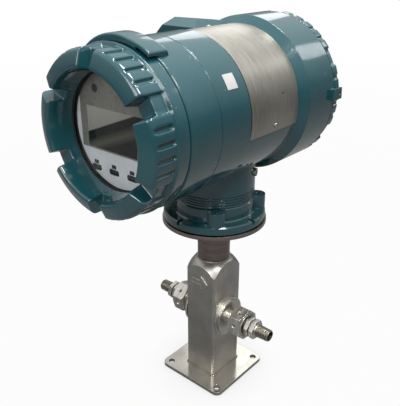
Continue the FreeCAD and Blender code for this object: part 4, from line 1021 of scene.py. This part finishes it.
for number, x in enumerate((-27.6, -5.6, 16.4)):
    decal(f"key_field_{number}", x, AXIS_HEIGHT - 36.9, 12.0, 5.2, 2.6)
    decal(f"key_bar_{number}", x, AXIS_HEIGHT - 32.0, 5.4, 3.4, 0.5)

# %% [markdown]
# ## The studio's walls
#
# The background is white because the world and the floor are white where the
# camera looks, not because more light falls on the meter. Glass passes that
# white on, and mirrors see a pale room that darkens towards the ground. Matt
# surfaces get only a low grey, so the lamps decide where the light falls.


# %% Light the world
def white_where_seen(tree, for_mirrors):
    """Return 1 for rays from the camera or through glass, a lower share for mirrors, or 0."""
    path = add(tree, "LightPath").outputs
    seen = maths(tree, "MAXIMUM", path["Is Camera Ray"], path["Is Transmission Ray"])
    mirrored = maths(tree, "MULTIPLY", path["Is Glossy Ray"], for_mirrors)
    return maths(tree, "MAXIMUM", seen, mirrored)


def light_world():
    """White to the camera; to mirrors a room that brightens with height; low grey to the rest."""
    world = bpy.data.worlds.new("studio")
    world.use_nodes = True
    tree = world.node_tree
    toward = add(tree, "SeparateXYZ", {0: add(tree, "TexCoord").outputs["Generated"]}).outputs
    room = spread(tree, toward[Z], 0.06, 1.0, 0.05, 0.72)
    tone = blend(tree, white_where_seen(tree, room), (0.10, 0.105, 0.115), (1.0, 1.0, 1.0))
    tree.links.new(tone, tree.nodes["Background"].inputs["Color"])
    bpy.context.scene.world = world
    return world


print("the world's light is made of", len(light_world().node_tree.nodes), "nodes")

# %% [markdown]
# ## The lamps
#
# Soft daylight from above lays long pale streaks on a glossy barrel, and shows
# its roundness. One lamp would burn out the paint, so five square ones share
# the work: the key hangs above, one lights the right side, a large and gentle
# one the front, and two weak ones behind draw the rim and a streak.


# %% Hang the lamps
def softbox(name, place, aim, size, power):
    """Hang a square area lamp at a place and turn it towards a point.

    A lamp shines straight down at first. It is tilted by the angle between down and the aim,
    then turned about the vertical to the aim's bearing.
    """
    lamp = bpy.data.lights.new(name, "AREA")
    lamp.size, lamp.energy = size, power
    holder = bpy.data.objects.new(name, lamp)
    holder.location = place
    right, ahead, up = np.subtract(aim, place)
    tilt = math.atan2(math.hypot(right, ahead), -up)
    holder.rotation_euler = (tilt, 0.0, math.atan2(ahead, right) - math.pi / 2.0)
    bpy.context.scene.collection.objects.link(holder)


MIDDLE, BARREL = (0.0, 0.0, 0.22), (0.0, 0.0, 0.35)
LAMPS = (("key", (0.10, 0.15, 1.30), MIDDLE, 0.35, 12.0),
         ("side", (0.74, -0.37, 1.38), MIDDLE, 0.3, 6.5),
         ("front", (0.25, -1.15, 0.95), MIDDLE, 0.8, 7.8),
         ("rim", (-0.7, 1.1, 0.9), MIDDLE, 0.45, 0.9),
         ("window", (0.50, 1.44, 1.06), BARREL, 0.3, 0.6))
for lamp in LAMPS:
    softbox(*lamp)
print(len(LAMPS), "lamps hung")

# %% [markdown]
# ## The floor
#
# The floor is a grey sheet to everything but the camera, which sees it glow
# white. Where the meter hides the sky the glow is weaker: that is its contact
# shadow. Far away the glow rises to full white and meets the world's.

# %% Lay the floor
FLOOR_HALF = 40.0


def lay_floor():
    """Lay the sheet, whose share of glow grows with the distance from the meter."""
    corners = [(x, y, 0.0) for x, y in ((-1, -1), (1, -1), (1, 1), (-1, 1))]
    mesh = bpy.data.meshes.new("floor")
    mesh.from_pydata((np.array(corners) * FLOOR_HALF).tolist(), [], [(0, 1, 2, 3)])
    floor = bpy.data.objects.new("floor", mesh)
    bpy.context.scene.collection.objects.link(floor)
    finish, tree, surface = start_finish("floor_sheet", (0.2, 0.2, 0.2), 0.0, 0.8)
    tone = blend(tree, clouds(tree, 5.0), (0.19, 0.19, 0.19), (0.21, 0.21, 0.21))
    join(tree, surface, Base_Color=tone)
    white = spread(tree, length(tree, places(tree)), 0.97, 1.0, 0.6, 2.5)
    seen = maths(tree, "MULTIPLY", white_where_seen(tree, 0.09), white)
    shade = add(tree, "AmbientOcclusion", {"Distance": 0.06}, samples=12).outputs["AO"]
    glow = add(tree, "Emission", {0: blend(tree, shade, (0.62, 0.62, 0.63), (1.0, 1.0, 1.0))})
    mix = add(tree, "MixShader", {0: seen, 1: surface.outputs["BSDF"],
                                  2: glow.outputs["Emission"]})
    tree.links.new(mix.outputs["Shader"], tree.nodes["Material Output"].inputs["Surface"])
    mesh.materials.append(finish)
    return finish


tell(lay_floor())

# %% [markdown]
# ## Finish
#
# The view transform is plain, so a colour renders about as it is written.

# %% Finish
bpy.context.scene.view_settings.view_transform = "Standard"
